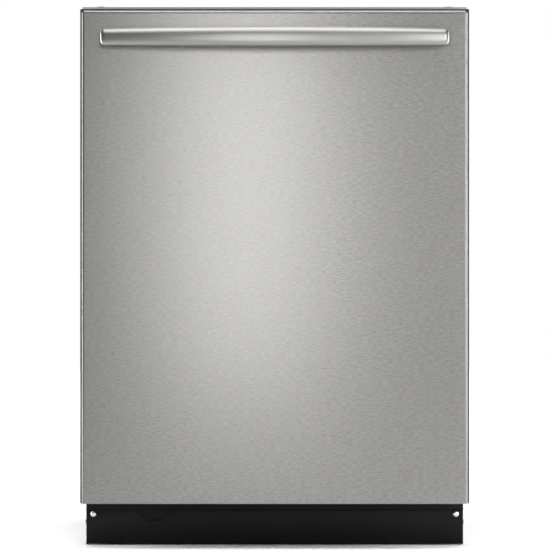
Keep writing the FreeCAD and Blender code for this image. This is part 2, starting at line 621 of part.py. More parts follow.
def tine_rows(name, places, ahead, behind, floor, tall, count):
    """Rows of upright pins that stand on the rack's cross wires."""
    rows = []
    for place in places:
        base_z = f"({floor} - {WELD} + 2 * wire)"
        bars = [rod(name + "_foot", "y", (place, ahead, base_z), "wire", f"{behind} - {ahead}")]
        bars += [rod(name + "_pin", "z", (place, spaced(f"{ahead} + 6", f"{behind} - 6", count,
                                                        number), base_z), "wire - 0.3", tall)
                 for number in range(count)]
        rows.append(join(name + "_row", bars))
    return rows


def hangers(name, half, places, height, top, radius, reach):
    """Plates on both sides of a rack, each with the pin that its wheel turns on."""
    carriers = []
    for place in places:
        side = f"({half} + {WELD} + wire)"
        plate = block(name + "_plate", (side, f"{side} + 1.6"), (f"{place} - 9", f"{place} + 9"),
                      (f"{height} - 7", top))
        pin = rod(name + "_pin", "x", (side, place, height), radius, reach)
        carrier = join(name + "_hanger", [plate, pin])
        carriers += [carrier, mirrored(name + "_hanger_twin", carrier)]
    return carriers


def wheel_pair(name, half, place, height, radius, wide, pin):
    """A left and a right wheel that share one axis."""
    start = f"({half} + {WELD} + wire + 2)"
    disc = rod(name + "_disc", "x", (start, place, height), radius, wide)
    bore = rod(name + "_bore", "x", (f"{start} - 1", place, height), f"{pin} + pin_play",
               f"{wide} + 2")
    node(name, pair(name + "_pair", cut(name + "_wheel", disc, [bore])))


def racks():
    """Both wire racks with their wheels, rails, tines, cup shelves and cutlery basket."""
    low = wire_basket("lower", "lower_half", "lower_floor", "lower_rim", 9, 8)
    low += hangers("lower", "lower_half", LOWER_WHEELS.values(), LOWER_AXLE, "lower_floor + 30",
                   "wheel_pin", "wheel_wide + 2.6")
    node("lower_rack_wires", group("lower_wires", low))
    places = [spaced("50 - lower_half", f"{BASKET_X} - 26", 6, number) for number in range(6)]
    node("lower_rack_tines", group("lower_tines", tine_rows(
        "lower_tine", places, f"({RACK_Y} + 50)", f"({RACK_REAR} - 30)",
        "lower_floor", "lower_tine", 12)))
    for label, place in LOWER_WHEELS.items():
        wheel_pair(f"lower_rack_wheels_{label}", "lower_half", place, LOWER_AXLE, "wheel_radius",
                   "wheel_wide", "wheel_pin")

    high = wire_basket("upper", "upper_half", "upper_floor", "upper_rim", 9, 8)
    high += hangers("upper", "upper_half", UPPER_ROLLERS.values(), "roller_height",
                    "roller_height + 40", "wheel_pin", "roller_wide + 2.6")
    node("upper_rack_wires", group("upper_wires", high))
    places = [spaced("174 - upper_half", "upper_half - 144", 4, number) for number in range(4)]
    node("upper_rack_tines", group("upper_tines", tine_rows(
        "upper_tine", places, f"({RACK_Y} + 50)", f"({RACK_REAR} - 30)",
        "upper_floor", "upper_tine", 12)))
    for label, place in UPPER_ROLLERS.items():
        wheel_pair(f"upper_rack_rollers_{label}", "upper_half", place, "roller_height",
                   "roller_radius", "roller_wide", "wheel_pin")

    inside = f"(upper_half + {WELD} + wire + 2.4)"
    web = f"({inside} + roller_wide + 1)"
    rise = "(roller_radius + 0.4)"
    along = (RACK_Y, f"{TUB_REAR} - 12")
    plate = block("rail_plate", (web, f"{web} + rail_sheet"), along,
                  (f"roller_height - {rise} - rail_sheet", f"roller_height + {rise} + rail_sheet"))
    strips = [block("rail_top", (inside, web), along,
                    (f"roller_height + {rise}", f"roller_height + {rise} + rail_sheet")),
              block("rail_foot", (inside, web), along,
                    (f"roller_height - {rise} - rail_sheet", f"roller_height - {rise}"))]
    for number in range(3):
        ahead = spaced(f"{RACK_Y} + 12", f"{TUB_REAR} - 75", 3, number)
        strips.append(block("rail_spacer", (f"{web} + rail_sheet", f"{TUB_HALF} - sheet"),
                            (ahead, f"{ahead} + 22"), ("roller_height - 8", "roller_height + 8")))
    solids = [plate, *strips]
    solids += [mirrored("rail_twin", piece) for piece in solids]
    node("upper_rack_rails", group("rack_rails", solids))

    feed_end = f"({RACK_REAR} + 0.2)"
    tube = rod("feed_tube", "y", (0, TUB_MID, FEED_Z), "pipe_radius", f"{feed_end} - {TUB_MID}")
    hub = rod("feed_hub", "z", (0, TUB_MID, "middle_arm + arm_thick + 0.4"), "arm_pin + 6", 17)
    stem = rod("feed_stem", "z", (0, TUB_MID, "middle_arm - 2"), "arm_pin", "arm_thick + 6")
    stop = rod("feed_stop", "z", (0, TUB_MID, "middle_arm - 4.4"), "arm_pin + 4", 4)
    node("middle_arm_feed", join("feed", [tube, hub, stem, stop]))

    for name, sign in (("left", -1), ("right", 1)):
        edge = f"{sign} * (upper_half - 8)"
        tip = f"{sign} * (upper_half - 8 - shelf_wide)"
        start, end = (edge, tip) if sign < 0 else (tip, edge)
        level = "upper_floor + shelf_rise"
        bars = [rod("shelf_bar", "y", (place, f"{RACK_Y} + 110", level), "wire", 240)
                for place in (edge, tip)]
        bars += [rod("shelf_rung", "x", (start, f"{RACK_Y} + {118 + 32 * rung}", level), "wire",
                     f"({end}) - ({start})") for rung in range(8)]
        node(f"cup_shelf_{name}", join(f"shelf_{name}", bars))

    left, right = BASKET_X, f"({BASKET_X} + basket_wide)"
    front, rear = f"({RACK_Y} + 30)", f"({RACK_Y} + 30 + basket_long)"
    shell = block("cutlery_outer", (left, right), (front, rear),
                  ("lower_floor + wire + 0.4", "lower_floor + basket_tall"))
    pitch = "((basket_long - basket_wall) / 4)"
    cells = [block("cutlery_cell", (f"{left} + basket_wall", f"{right} - basket_wall"),
                   (f"{front} + basket_wall + {pitch} * {cell}", f"{front} + {pitch} * {cell + 1}"),
                   ("lower_floor + wire + 0.4 + basket_wall", "lower_floor + basket_tall + 6"))
             for cell in range(4)]
    middle = "((lower_half - basket_side_gap) - basket_wide / 2)"
    ends = [block("cutlery_post", (f"{middle} - 3", f"{middle} + 3"), (place, f"{place} + 6"),
                  ("lower_floor + basket_tall - 24", "lower_floor + basket_tall + 28"))
            for place in (front, f"{rear} - 6")]
    grip = block("cutlery_grip", (f"{middle} - 6", f"{middle} + 6"), (front, rear),
                 ("lower_floor + basket_tall + 22", "lower_floor + basket_tall + 32"))
    node("silverware_basket", join("cutlery", [cut("cutlery_cut", shell, cells), *ends, grip]))


# ------------------------------------------------------------------------------- door
def door():
    """Outer and inner panel, console, handle, dispenser, vent, seal and hinge arms."""
    def corner(edge, whole):
        """Pick the two upper corners, which run front to back."""
        return edge.YLength > 5 and edge.ZLength < 1e-6 and edge.ZMin > whole.Center.z

    skin = block("skin_outer", (f"-{HALF}", HALF), (FACE, f"{FACE} + door_return"),
                 ("door_base", DOOR_TOP))
    room = block("skin_inner", (f"sheet - {HALF}", f"{HALF} - sheet"),
                 (f"{FACE} + sheet", f"{FACE} + door_return + 5"),
                 ("door_base + sheet", f"{DOOR_TOP} - sheet"))
    open_top = block("skin_open", (f"door_corner - {HALF}", f"{HALF} - door_corner"),
                     (f"{FACE} + door_lip", f"{FACE} + door_return + 5"),
                     (f"{DOOR_TOP} - 20", f"{DOOR_TOP} + 1"))
    holes = [rod("skin_hole", "y", (f"{sign}{POST_X}", f"{FACE} - 1", "handle_height"),
                 "screw_shank + 0.2", 4) for sign in ("-", "")]
    shell = cut("skin", rounded("skin_round", skin, SIZES["door_corner"], corner),
                [rounded("room_round", room, SIZES["door_corner"] - SIZES["sheet"], corner),
                 open_top, *holes])
    node("door_outer_panel", shell)

    front = f"({FACE} + door_return + 0.5)"
    plate = f"({INNER} - sheet)"
    outline = [(f"-{INNER_HALF}", front), (f"sheet - {INNER_HALF}", front),
               (f"sheet - {INNER_HALF}", plate), (f"{INNER_HALF} - sheet", plate),
               (f"{INNER_HALF} - sheet", front), (INNER_HALF, front), (INNER_HALF, INNER),
               (f"-{INNER_HALF}", INNER)]
    liner = extruded("liner", "XY_Plane", outline,
                     f"{CONSOLE_Z} - console_gap - inner_base", (0, 0, "inner_base"))
    window = block("dispenser_window",
                   ("dispenser_x - dispenser_wide / 2 - 0.3", "dispenser_x + dispenser_wide / 2 + 0.3"),
                   (f"{INNER} - 3", f"{INNER} + 1"),
                   ("dispenser_height - dispenser_tall / 2 - 0.3",
                    "dispenser_height + dispenser_tall / 2 + 0.3"))
    vent_hole = rod("vent_hole", "y", ("vent_x", f"{INNER} - 3", "dryer_height"),
                    "dryer_radius + 0.3", 5)
    node("door_inner_panel", cut("liner_cut", liner, [window, vent_hole]))

    node("door_insulation", block("pad", (f"32 - {HALF}", f"{HALF} - 32"),
                                  (f"{FACE} + sheet + 0.4", f"{INNER} - dispenser_deep - pad_gap"),
                                  ("door_base + 20", "handle_height - 20")))

    console()
    handle()
    dispenser()

    cover = rod("vent_cover", "y", ("vent_x", f"{INNER} + 0.2", "dryer_height"),
                "dryer_radius + 4", 5)
    neck = rod("vent_neck", "y", ("vent_x", f"{INNER} - 14", "dryer_height"), "dryer_radius", 16)
    throat = rod("vent_throat", "y", ("vent_x", f"{INNER} - 15", "dryer_height"),
                 "dryer_radius - 4", 16)
    node("door_vent", cut("vent", join("vent_solid", [cover, neck]), [throat]))

    node("door_bottom_seal", block("seal", (f"18 - {INNER_HALF}", f"{INNER_HALF} - 18"),
                                   (f"{plate} - 2.5", plate),
                                   ("inner_base - 14", "inner_base + 16")))

    side = f"({RAIL_HALF} - base_sheet - 11)"
    eye = rod("arm_eye", "x", (side, HINGE_Y, "hinge_height"), 12, 3)
    strap = block("arm_strap", (side, f"{side} + 3"), (f"{HINGE_Y} - 11", plate),
                  ("hinge_height", "hinge_height + 227"))
    bore = rod("arm_bore", "x", (f"{side} - 1", HINGE_Y, "hinge_height"), "hinge_pin + pin_play", 5)
    node("hinge_arms", pair("arms", cut("arm", join("arm_solid", [eye, strap]), [bore])))


def console():
    """Hollow control console with button pockets, latch slot and the latch hook's pin."""
    top = f"({DOOR_TOP} - sheet)"
    near = f"({FACE} + door_lip + 0.3)"
    half = f"({HALF} - sheet - door_corner)"
    outer = block("console_outer", (f"-{half}", half), (near, INNER), (CONSOLE_Z, top))
    room = block("console_room", (f"2.5 - {half}", f"{half} - 2.5"),
                 (f"{near} + 2.5", f"{INNER} - 2.5"), (f"{CONSOLE_Z} - 1", f"{top} - 2.5"))
    middle = f"(({near} + {INNER}) / 2)"
    pockets = []
    for number, name in enumerate(("power", "cycle", "options", "start")):
        left = f"(60 + button_step * {number} - button_wide / 2)"
        pockets.append(block("pocket", (f"{left} - 0.4", f"{left} + button_wide + 0.4"),
                             (f"{middle} - button_deep / 2 - 0.4", f"{middle} + button_deep / 2 + 0.4"),
                             (f"{top} - 6", f"{top} + 1")))
        cap = block(name + "_cap", (left, f"{left} + button_wide"),
                    (f"{middle} - button_deep / 2", f"{middle} + button_deep / 2"),
                    (f"{top} - 4.6", f"{top} + 0.4"))
        node(f"{name}_button", rounded(name + "_round", cap, 1.2,
                                       lambda edge, whole: edge.ZLength > whole.ZLength / 2))
    slot = block("hook_slot", (-6, 6), (f"{INNER} - 4", f"{INNER} + 1"),
                 (f"{PIVOT[1]} - 6", f"{PIVOT[1]} + 9"))
    cheek = block("hook_cheek", (8, 11), (f"{PIVOT[0]} - 6", f"{INNER} - 2"),
                  (f"{PIVOT[1]} - 6", f"{top} - 1"))
    pin = rod("hook_pin", "x", (-9, *PIVOT), 2.5, 18)
    case = cut("console_case", outer, [room, slot, *pockets])
    node("control_console", join("console", [case, cheek, mirrored("hook_cheek_twin", cheek), pin]))

    lip = f"({TUB_Y} + 12.4)"
    outline = [(f"{PIVOT[0]} - 6", f"{PIVOT[1]} - 4.5"), (f"{PIVOT[0]} + 5", f"{PIVOT[1]} - 4.5"),
               (f"{PIVOT[0]} + 9", f"{PIVOT[1]} + 2"), (lip, f"{PIVOT[1]} + 2"),
               (lip, f"{PIVOT[1]} - 2"), (f"{lip} + 5", f"{PIVOT[1]} - 2"),
               (f"{lip} + 5", f"{PIVOT[1]} + 7"), (f"{PIVOT[0]} - 6", f"{PIVOT[1]} + 7")]
    hook = extruded("hook", "YZ_Plane", outline, 8, (0, 0, 0), True)
    bore = rod("hook_bore", "x", (-6, *PIVOT), "2.5 + pin_play", 12)
    node("latch_hook", cut("hook_cut", hook, [bore]))


def handle():
    """Bowed bar of oval section on two posts, and the screws that hold it from inside."""
    sections = []
    for step in range(-6, 7):
        share = step / 6
        oval = doc.addObject("Part::Ellipse", "bar_section")
        oval.Placement = FreeCAD.Placement(V(), FreeCAD.Rotation(V(0, 1, 0), -90))
        bind(oval, "MajorRadius",
             f"(handle_tall - (handle_tall - handle_end_tall) * {share ** 2:.4f}) / 2")
        bind(oval, "MinorRadius", "handle_deep / 2")
        put(oval, f"handle_length / 2 * {share:.4f}",
            f"{FACE} - handle_reach + handle_deep / 2 + handle_bow * {share ** 2:.4f}",
            "handle_height")
        sections.append(oval)
    bar = doc.addObject("Part::Loft", "bar")
    bar.Sections = sections
    bar.Solid = True
    posts = []
    screws = []
    for sign in ("-", ""):
        middle = f"{sign}{POST_X}"
        post = block("post", (f"{middle} - post_width / 2", f"{middle} + post_width / 2"),
                     (f"{FACE} - handle_reach + handle_deep / 2 + handle_bow", FACE),
                     ("handle_height - 10", "handle_height + 10"))
        posts.append(post)
        head = (middle, f"{FACE} + sheet", "handle_height")
        screws.append(join("handle_screw", [
            rod("handle_screw_head", "y", head, "screw_head", 2),
            rod("handle_screw_shank", "y", (middle, f"{FACE} - 12", "handle_height"),
                "screw_shank", "12 + sheet")]))
    bores = [rod("post_bore", "y", (f"{sign}{POST_X}", f"{FACE} - 12.2", "handle_height"),
                 "screw_shank + 0.05", 14) for sign in ("-", "")]
    node("door_handle", cut("handle_bar", join("handle_solid", [bar, *posts]), bores))
    node("handle_screws", group("handle_fixings", screws))


def dispenser():
    """Detergent dispenser housing with its cup, the sprung lid and the rinse-aid cap."""
    left = "(dispenser_x - dispenser_wide / 2)"
    low = "(dispenser_height - dispenser_tall / 2)"
    edge = "(dispenser_x - 92)"
    foot = "(dispenser_height - lid_tall / 2)"
    back = f"({INNER} - dispenser_deep)"
    body = block("housing", (left, f"{left} + dispenser_wide"), (back, f"{INNER} + 1"),
                 (low, f"{low} + dispenser_tall"))
    cup = block("cup", (f"{edge} + 5", f"{edge} + lid_wide - 5"), (f"{back} + 4", f"{INNER} + 2"),
                (f"{foot} + 6", f"{foot} + lid_tall - 5"))
    lug_y = (f"{INNER} + 0.5", f"{INNER} + 5.4")
    lug_z = (f"{foot} - 5", f"{foot} - 0.2")
    lugs = [block("lug", (f"{edge} - 4", f"{edge} - 0.5"), lug_y, lug_z),
            block("lug", (f"{edge} + lid_wide + 0.5", f"{edge} + lid_wide + 4"), lug_y, lug_z)]
    axis = (f"{INNER} + 3.4", f"{foot} - 2.5")
    pin = rod("lid_pin", "x", (f"{edge} - 2", *axis), 1, "lid_wide + 4")
    node("detergent_dispenser", join("dispenser", [cut("housing_cup", body, [cup]), *lugs, pin]))

    plate = block("lid_plate", (edge, f"{edge} + lid_wide"), (f"{INNER} + 1.4", f"{INNER} + 3.4"),
                  (f"{foot} - 2.5", f"{foot} + lid_tall"))
    knuckle = rod("lid_knuckle", "x", (edge, *axis), 2, "lid_wide")
    bore = rod("lid_bore", "x", (f"{edge} - 1", *axis), "1 + pin_play", "lid_wide + 2")
    node("detergent_lid", cut("lid", join("lid_solid", [plate, knuckle]), [bore]))

    spot = ("dispenser_x + 60", f"{INNER} + 1.4", "dispenser_height")
    disc = rod("cap_disc", "y", spot, "cap_radius", 3)
    grip = block("cap_grip", ("dispenser_x + 46", "dispenser_x + 74"),
                 (f"{INNER} + 4", f"{INNER} + 8"), ("dispenser_height - 3", "dispenser_height + 3"))
    node("rinse_aid_cap", join("cap", [disc, grip]))


# ----------------------------------------------------------------------- build, export
tub()
base()
water()
racks()
door()
doc.recompute()

for thing in doc.Objects:
    if "Invalid" in thing.State or "Error" in thing.State:
        raise RuntimeError(f"{thing.Name} ({thing.Label}) failed: {thing.State}")
for name, piece in NODES.items():
    if piece.Shape.isNull() or not piece.Shape.isValid():
        raise RuntimeError(f"{name} has no valid shape")

os.makedirs("parts", exist_ok=True)
for name, piece in NODES.items():
    piece.Shape.exportStep(f"parts/{name}.step")

whole = Part.makeCompound([piece.Shape for piece in NODES.values()])
box = whole.BoundBox
print(f"{len(NODES)} nodes, {box.XLength:.2f} x {box.YLength:.2f} x {box.ZLength:.2f} mm, "
      f"from ({box.XMin:.2f}, {box.YMin:.2f}, {box.ZMin:.2f})")
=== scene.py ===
import logging
import math
from collections.abc import Callable, Iterable, Sequence
from dataclasses import dataclass
from enum import Enum

import bmesh
import bpy
from mathutils import Matrix, Vector


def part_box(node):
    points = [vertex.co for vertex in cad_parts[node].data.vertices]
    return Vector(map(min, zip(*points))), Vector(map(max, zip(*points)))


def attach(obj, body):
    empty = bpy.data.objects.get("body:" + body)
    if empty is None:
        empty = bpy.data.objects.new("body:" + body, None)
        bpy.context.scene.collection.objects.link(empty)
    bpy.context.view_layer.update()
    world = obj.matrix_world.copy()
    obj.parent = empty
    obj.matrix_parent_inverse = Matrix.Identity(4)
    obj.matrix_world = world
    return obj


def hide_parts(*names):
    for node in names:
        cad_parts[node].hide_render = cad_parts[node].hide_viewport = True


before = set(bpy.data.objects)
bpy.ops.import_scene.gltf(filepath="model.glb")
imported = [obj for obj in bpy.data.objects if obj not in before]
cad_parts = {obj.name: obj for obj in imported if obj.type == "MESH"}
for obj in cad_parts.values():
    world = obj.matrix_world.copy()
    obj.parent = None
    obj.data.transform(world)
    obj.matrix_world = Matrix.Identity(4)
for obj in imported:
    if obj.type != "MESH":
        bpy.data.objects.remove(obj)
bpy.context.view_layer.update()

# A built-in dishwasher: flat brushed steel door with a bowed bar handle, black toe kick,
# steel tub with two coated wire racks, and the works under the tub.  Metres, +Z up,
# the door faces -Y.  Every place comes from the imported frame.

LOG = logging.getLogger("dishwasher")
MM = 0.001
Point = tuple[float, float, float]


class Axis(Enum):
    """A direction that a bar, tube or spin follows."""

    X = Vector((1, 0, 0))
    Y = Vector((0, 1, 0))
    Z = Vector((0, 0, 1))


class Side(Enum):
    """Which side of the middle plane a piece is on, as a sign on X."""

    LEFT = -1
    RIGHT = 1


# --------------------------------------------------------------------------- finishes
def linear(hex_colour: str) -> tuple[float, float, float, float]:
    """Turn an sRGB hex colour into linear RGBA.

    Args:
        hex_colour: six hex digits, such as "8f8f8d".

    Returns:
        Linear red, green, blue and an alpha of 1.
    """
    parts = [int(hex_colour[place:place + 2], 16) / 255 for place in (0, 2, 4)]
    light = [part / 12.92 if part <= 0.04045 else ((part + 0.055) / 1.055) ** 2.4 for part in parts]
    return (*light, 1.0)


def add_node(tree: bpy.types.NodeTree, kind: str, values: dict | None = None,
             links: dict | None = None, **settings: object) -> bpy.types.Node:
    """Add one shader node with its settings, socket values and incoming links.

    Args:
        tree: the material's node tree.
        kind: the node's type name.
        values: socket name or number to value.
        links: socket name or number to the output socket that feeds it.
        settings: the node's own properties.

    Returns:
        The new node.
    """
    node = tree.nodes.new(kind)
    for name, value in settings.items():
        setattr(node, name, value)
    for socket, value in (values or {}).items():
        node.inputs[socket].default_value = value
    for socket, source in (links or {}).items():
        tree.links.new(source, node.inputs[socket])
    return node


@dataclass(frozen=True)
class Finish:
    """A surface whose fine structure is a noise of one real size.

    The grain is the pattern's size in millimetres along X, Y and Z, so a brushed sheet has
    a long grain one way and a short one the others, and moulded plastic has an even one.
    """

    name: str
    colour: str
    second: str
    roughness: float
    grain: Point
    relief: float
    metallic: float = 0.0
    rough_spread: float = 0.06
    coat: float = 0.0
    sheen: float = 0.0
    cloud: float = 60.0
    clouding: float = 0.5          # share of the slow clouds in the colour; the rest is grain
    specular: float = 0.5

    def material(self) -> bpy.types.Material:
        """Return this finish's material, made once."""
        known = bpy.data.materials.get(self.name)
        if known:
            return known
        made = bpy.data.materials.new(self.name)
        made.use_nodes = True
        self.weave(made.node_tree)
        return made

    def grain_pattern(self, tree: bpy.types.NodeTree,
                      place: bpy.types.NodeSocket) -> bpy.types.NodeSocket:
        """Return the fine pattern, from 0 to 1."""
        scale = tuple(1 / (size * MM) for size in self.grain)
        stretched = add_node(tree, "ShaderNodeMapping", {"Scale": scale}, {"Vector": place})
        noise = add_node(tree, "ShaderNodeTexNoise",
                         {"Scale": 1.0, "Detail": 3.0, "Roughness": 0.6},
                         {"Vector": stretched.outputs["Vector"]})
        return noise.outputs["Fac"]

    def weave(self, tree: bpy.types.NodeTree) -> None:
        """Build the node tree: colour, roughness and bump from the pattern and slow clouds."""
        shader = tree.nodes["Principled BSDF"]
        place = add_node(tree, "ShaderNodeTexCoord").outputs["Object"]
        fine = self.grain_pattern(tree, place)
        cloud = add_node(tree, "ShaderNodeTexNoise",
                         {"Scale": 1 / (self.cloud * MM), "Detail": 2.0}, {"Vector": place})
        both = add_node(tree, "ShaderNodeMath", {1: 1 - self.clouding}, {0: fine},
                        operation="MULTIPLY")
        blend = add_node(tree, "ShaderNodeMath", {1: self.clouding},
                         {0: cloud.outputs["Fac"], 2: both.outputs[0]}, operation="MULTIPLY_ADD")
        tint = add_node(tree, "ShaderNodeMix", {6: linear(self.colour), 7: linear(self.second)},
                        {0: blend.outputs[0]}, data_type="RGBA")
        rough = add_node(tree, "ShaderNodeMapRange",
                         {"From Min": 0.3, "From Max": 0.7,
                          "To Min": self.roughness - self.rough_spread / 2,
                          "To Max": self.roughness + self.rough_spread / 2},
                         {"Value": blend.outputs[0]})
        bump = add_node(tree, "ShaderNodeBump", {"Strength": 1.0, "Distance": self.relief * MM},
                        {"Height": fine})
        tree.links.new(tint.outputs[2], shader.inputs["Base Color"])
        tree.links.new(rough.outputs["Result"], shader.inputs["Roughness"])
        tree.links.new(bump.outputs["Normal"], shader.inputs["Normal"])
        shader.inputs["Metallic"].default_value = self.metallic
        shader.inputs["Specular IOR Level"].default_value = self.specular
        shader.inputs["Coat Weight"].default_value = self.coat
        shader.inputs["Sheen Weight"].default_value = self.sheen


@dataclass(frozen=True)
class SpangledZinc(Finish):
    """Hot-dip zinc on steel: flat crystals of a few millimetres, each a little different."""

    def grain_pattern(self, tree: bpy.types.NodeTree,
                      place: bpy.types.NodeSocket) -> bpy.types.NodeSocket:
        """Return one grey for each crystal."""
        cells = add_node(tree, "ShaderNodeTexVoronoi", {"Scale": 1 / (self.grain[0] * MM)},
                         {"Vector": place})
        grey = add_node(tree, "ShaderNodeSeparateColor", links={0: cells.outputs["Color"]})
        return grey.outputs[0]


@dataclass(frozen=True)
class FibreFelt(Finish):
    """Needled felt: short fibres lying every way, with tufts and thin places."""

    def grain_pattern(self, tree: bpy.types.NodeTree,
                      place: bpy.types.NodeSocket) -> bpy.types.NodeSocket:
        """Return fibres: the ridges of a strongly warped noise."""
        warp = add_node(tree, "ShaderNodeTexNoise",
                        {"Scale": 1 / (4 * self.grain[0] * MM), "Detail": 4.0}, {"Vector": place})
        pushed = add_node(tree, "ShaderNodeVectorMath", {"Scale": 9 * MM},
                          {0: warp.outputs["Color"]}, operation="SCALE")
        moved = add_node(tree, "ShaderNodeVectorMath",
                         links={0: place, 1: pushed.outputs[0]}, operation="ADD")
        fibres = add_node(tree, "ShaderNodeTexNoise",
                          {"Scale": 1 / (self.grain[0] * MM), "Detail": 5.0, "Roughness": 0.75},
                          {"Vector": moved.outputs[0]})
        return fibres.outputs["Fac"]


@dataclass(frozen=True)
class PiercedSheet(Finish):
    """Sheet or gauze with round holes in rows, painted on: the second colour is painted shade, the
    dark seen through a hole.
    """

    def grain_pattern(self, tree: bpy.types.NodeTree,
                      place: bpy.types.NodeSocket) -> bpy.types.NodeSocket:
        """Return 0 on the metal and 1 in a hole, where the colour turns to painted shade."""
        parts = []
        scaled = add_node(tree, "ShaderNodeVectorMath",
                          {"Scale": math.pi / (self.grain[0] * MM)}, {0: place},
                          operation="SCALE")
        split = add_node(tree, "ShaderNodeSeparateXYZ", links={0: scaled.outputs[0]})
        for axis in ("X", "Y", "Z"):
            wave = add_node(tree, "ShaderNodeMath", links={0: split.outputs[axis]},
                            operation="COSINE")
            parts.append(add_node(tree, "ShaderNodeMath", links={0: wave.outputs[0]},
                                  operation="ABSOLUTE"))
        pair = add_node(tree, "ShaderNodeMath",
                        links={0: parts[0].outputs[0], 1: parts[1].outputs[0]},
                        operation="MULTIPLY")
        return add_node(tree, "ShaderNodeMapRange",
                        {"From Min": 0.45, "From Max": 0.6, "To Min": 0.0, "To Max": 1.0},
                        {"Value": pair.outputs[0]}).outputs["Result"]


# Austenitic stainless sheet, belt brushed along the width: short broken lines that lie level.
# The real lines are 0.1 mm wide; they are drawn 1.8 mm wide to show.
DOOR_STEEL = Finish("brushed_stainless_door", "696866", "9e9d9b", 0.305, (8, 8, 1.8), 0.006,
                    metallic=1.0, rough_spread=0.03, cloud=400, clouding=0.1)
# Stainless tube, drawn and then satin polished along its length, brighter than the door.
HANDLE_STEEL = Finish("satin_stainless_handle", "888785", "969592", 0.33, (60, 2, 0.8), 0.001,
                      metallic=1.0, rough_spread=0.05, cloud=90)
# Cold-rolled stainless sheet as it comes off the rolls: bright, with faint clouds.
TUB_STEEL = Finish("cold_rolled_stainless_tub", "b4b4b2", "c2c2c0", 0.24, (3, 3, 40), 0.0012,
                   metallic=1.0, rough_spread=0.08, cloud=45)
# Powder-coated sheet, satin grey: a fine orange peel.
FRAME_PAINT = Finish("powder_coated_frame", "8f8e8c", "959492", 0.42, (0.8, 0.8, 0.8), 0.02)
# Powder-coated sheet, black: nearly matt, a fine orange peel.
KICK_PAINT = Finish("powder_coated_toe_kick", "101011", "161617", 0.55, (0.9, 0.9, 0.9), 0.03,
                    specular=0.12)
# Hot-dip galvanised sheet for the base.
BASE_ZINC = SpangledZinc("galvanised_base_sheet", "8e9194", "a4a7aa", 0.44, (7, 7, 7), 0.002,
                         metallic=0.9, rough_spread=0.14)
# Zinc-plated screws, blue-white passivated.
SCREW_ZINC = Finish("zinc_plated_screw", "c5c8ca", "d6d8da", 0.28, (0.4, 0.4, 0.4), 0.003,
                    metallic=1.0)
# Hard-drawn spring wire under a film of oil.
SPRING_WIRE = Finish("oiled_spring_wire", "4a4a4c", "5c5c5e", 0.34, (0.6, 0.6, 0.6), 0.004,
                     metallic=1.0)
# Nickel-alloy heater sheath, browned by heat.
HEATER_SHEATH = Finish("heat_browned_sheath", "4c4744", "6a645f", 0.40, (2, 2, 2), 0.004,
                       metallic=0.9, rough_spread=0.12)
# Extruded sealing rubber, with a bloom of talc; also the thin dark blocks of painted shade in the
# spray jets' slots.
SEAL_RUBBER = Finish("extruded_seal_rubber", "2c2d2f", "3a3b3d", 0.66, (1.2, 1.2, 6), 0.03,
                     sheen=0.15)
# Cotton-and-bitumen sound felt.
BLANKET_FELT = FibreFelt("needled_sound_felt", "232425", "4a4b4c", 0.95, (0.9, 0.9, 0.9), 0.5,
                         sheen=0.35)
# Fine-textured black ABS of the console; also the dark strip of painted shade round the door's
# edges.
CONSOLE_ABS = Finish("fine_textured_abs", "17181a", "1f2022", 0.48, (0.5, 0.5, 0.5), 0.02)
# Polished grey ABS of the buttons.
BUTTON_ABS = Finish("polished_button_abs", "6b6d70", "727477", 0.22, (3, 3, 3), 0.002, coat=0.3)
# Tinted acrylic over the indicator lights.
LENS_ACRYLIC = Finish("tinted_lens_acrylic", "0c0e12", "10131a", 0.06, (9, 9, 9), 0.001, coat=0.6)
# Moulded polypropylene, mid grey: spray arms, pipe, filter.
ARM_PLASTIC = Finish("moulded_polypropylene_grey", "8b8f94", "979ba0", 0.45, (1.5, 1.5, 1.5), 0.01)
# Glass-filled polypropylene, black: pumps and sump.
PUMP_PLASTIC = Finish("glass_filled_polypropylene", "1c1d1f", "2a2b2e", 0.52, (0.7, 0.7, 2.5), 0.03)
# Fluidised-bed nylon over steel wire: thick, smooth and slightly waxy.
RACK_NYLON = Finish("nylon_coated_wire", "8d939b", "989ea6", 0.34, (2.5, 2.5, 2.5), 0.01, coat=0.15)
# Moulded polypropylene, light grey: basket and wheels.
BASKET_PLASTIC = Finish("moulded_polypropylene_light", "9ba1a8", "a5abb2", 0.42, (1.2, 1.2, 1.2),
                        0.012)
# Steam-proof polypropylene of the dispenser.
DISPENSER_PLASTIC = Finish("moulded_dispenser_grey", "7d8288", "878c92", 0.38, (1.0, 1.0, 1.0),
                           0.01)
# Glass-filled nylon feet.
FOOT_NYLON = Finish("moulded_nylon_foot", "202122", "2b2c2d", 0.5, (0.8, 0.8, 0.8), 0.02)
# Woven stainless gauze of the fine filter: 0.5 mm holes, drawn 1.2 mm wide to show, as near-black
# spots of painted shade.
FILTER_GAUZE = PiercedSheet("stainless_filter_gauze", "8b8b89", "101010", 0.38, (1.2, 1.2, 1.2),
                            0.15, metallic=1.0)
# Perforated stainless sheet: 1.5 mm holes, 3 mm apart, painted on as near-black spots of shade.
PERFORATED_STEEL = PiercedSheet("perforated_stainless", "b0b0ae", "0d0d0d", 0.30, (3, 3, 3), 0.2,
                                metallic=1.0)
# Pale studio floor paper.
FLOOR_PAPER = Finish("studio_floor_paper", "f4f4f3", "f7f7f6", 0.85, (2, 2, 2), 0.005)


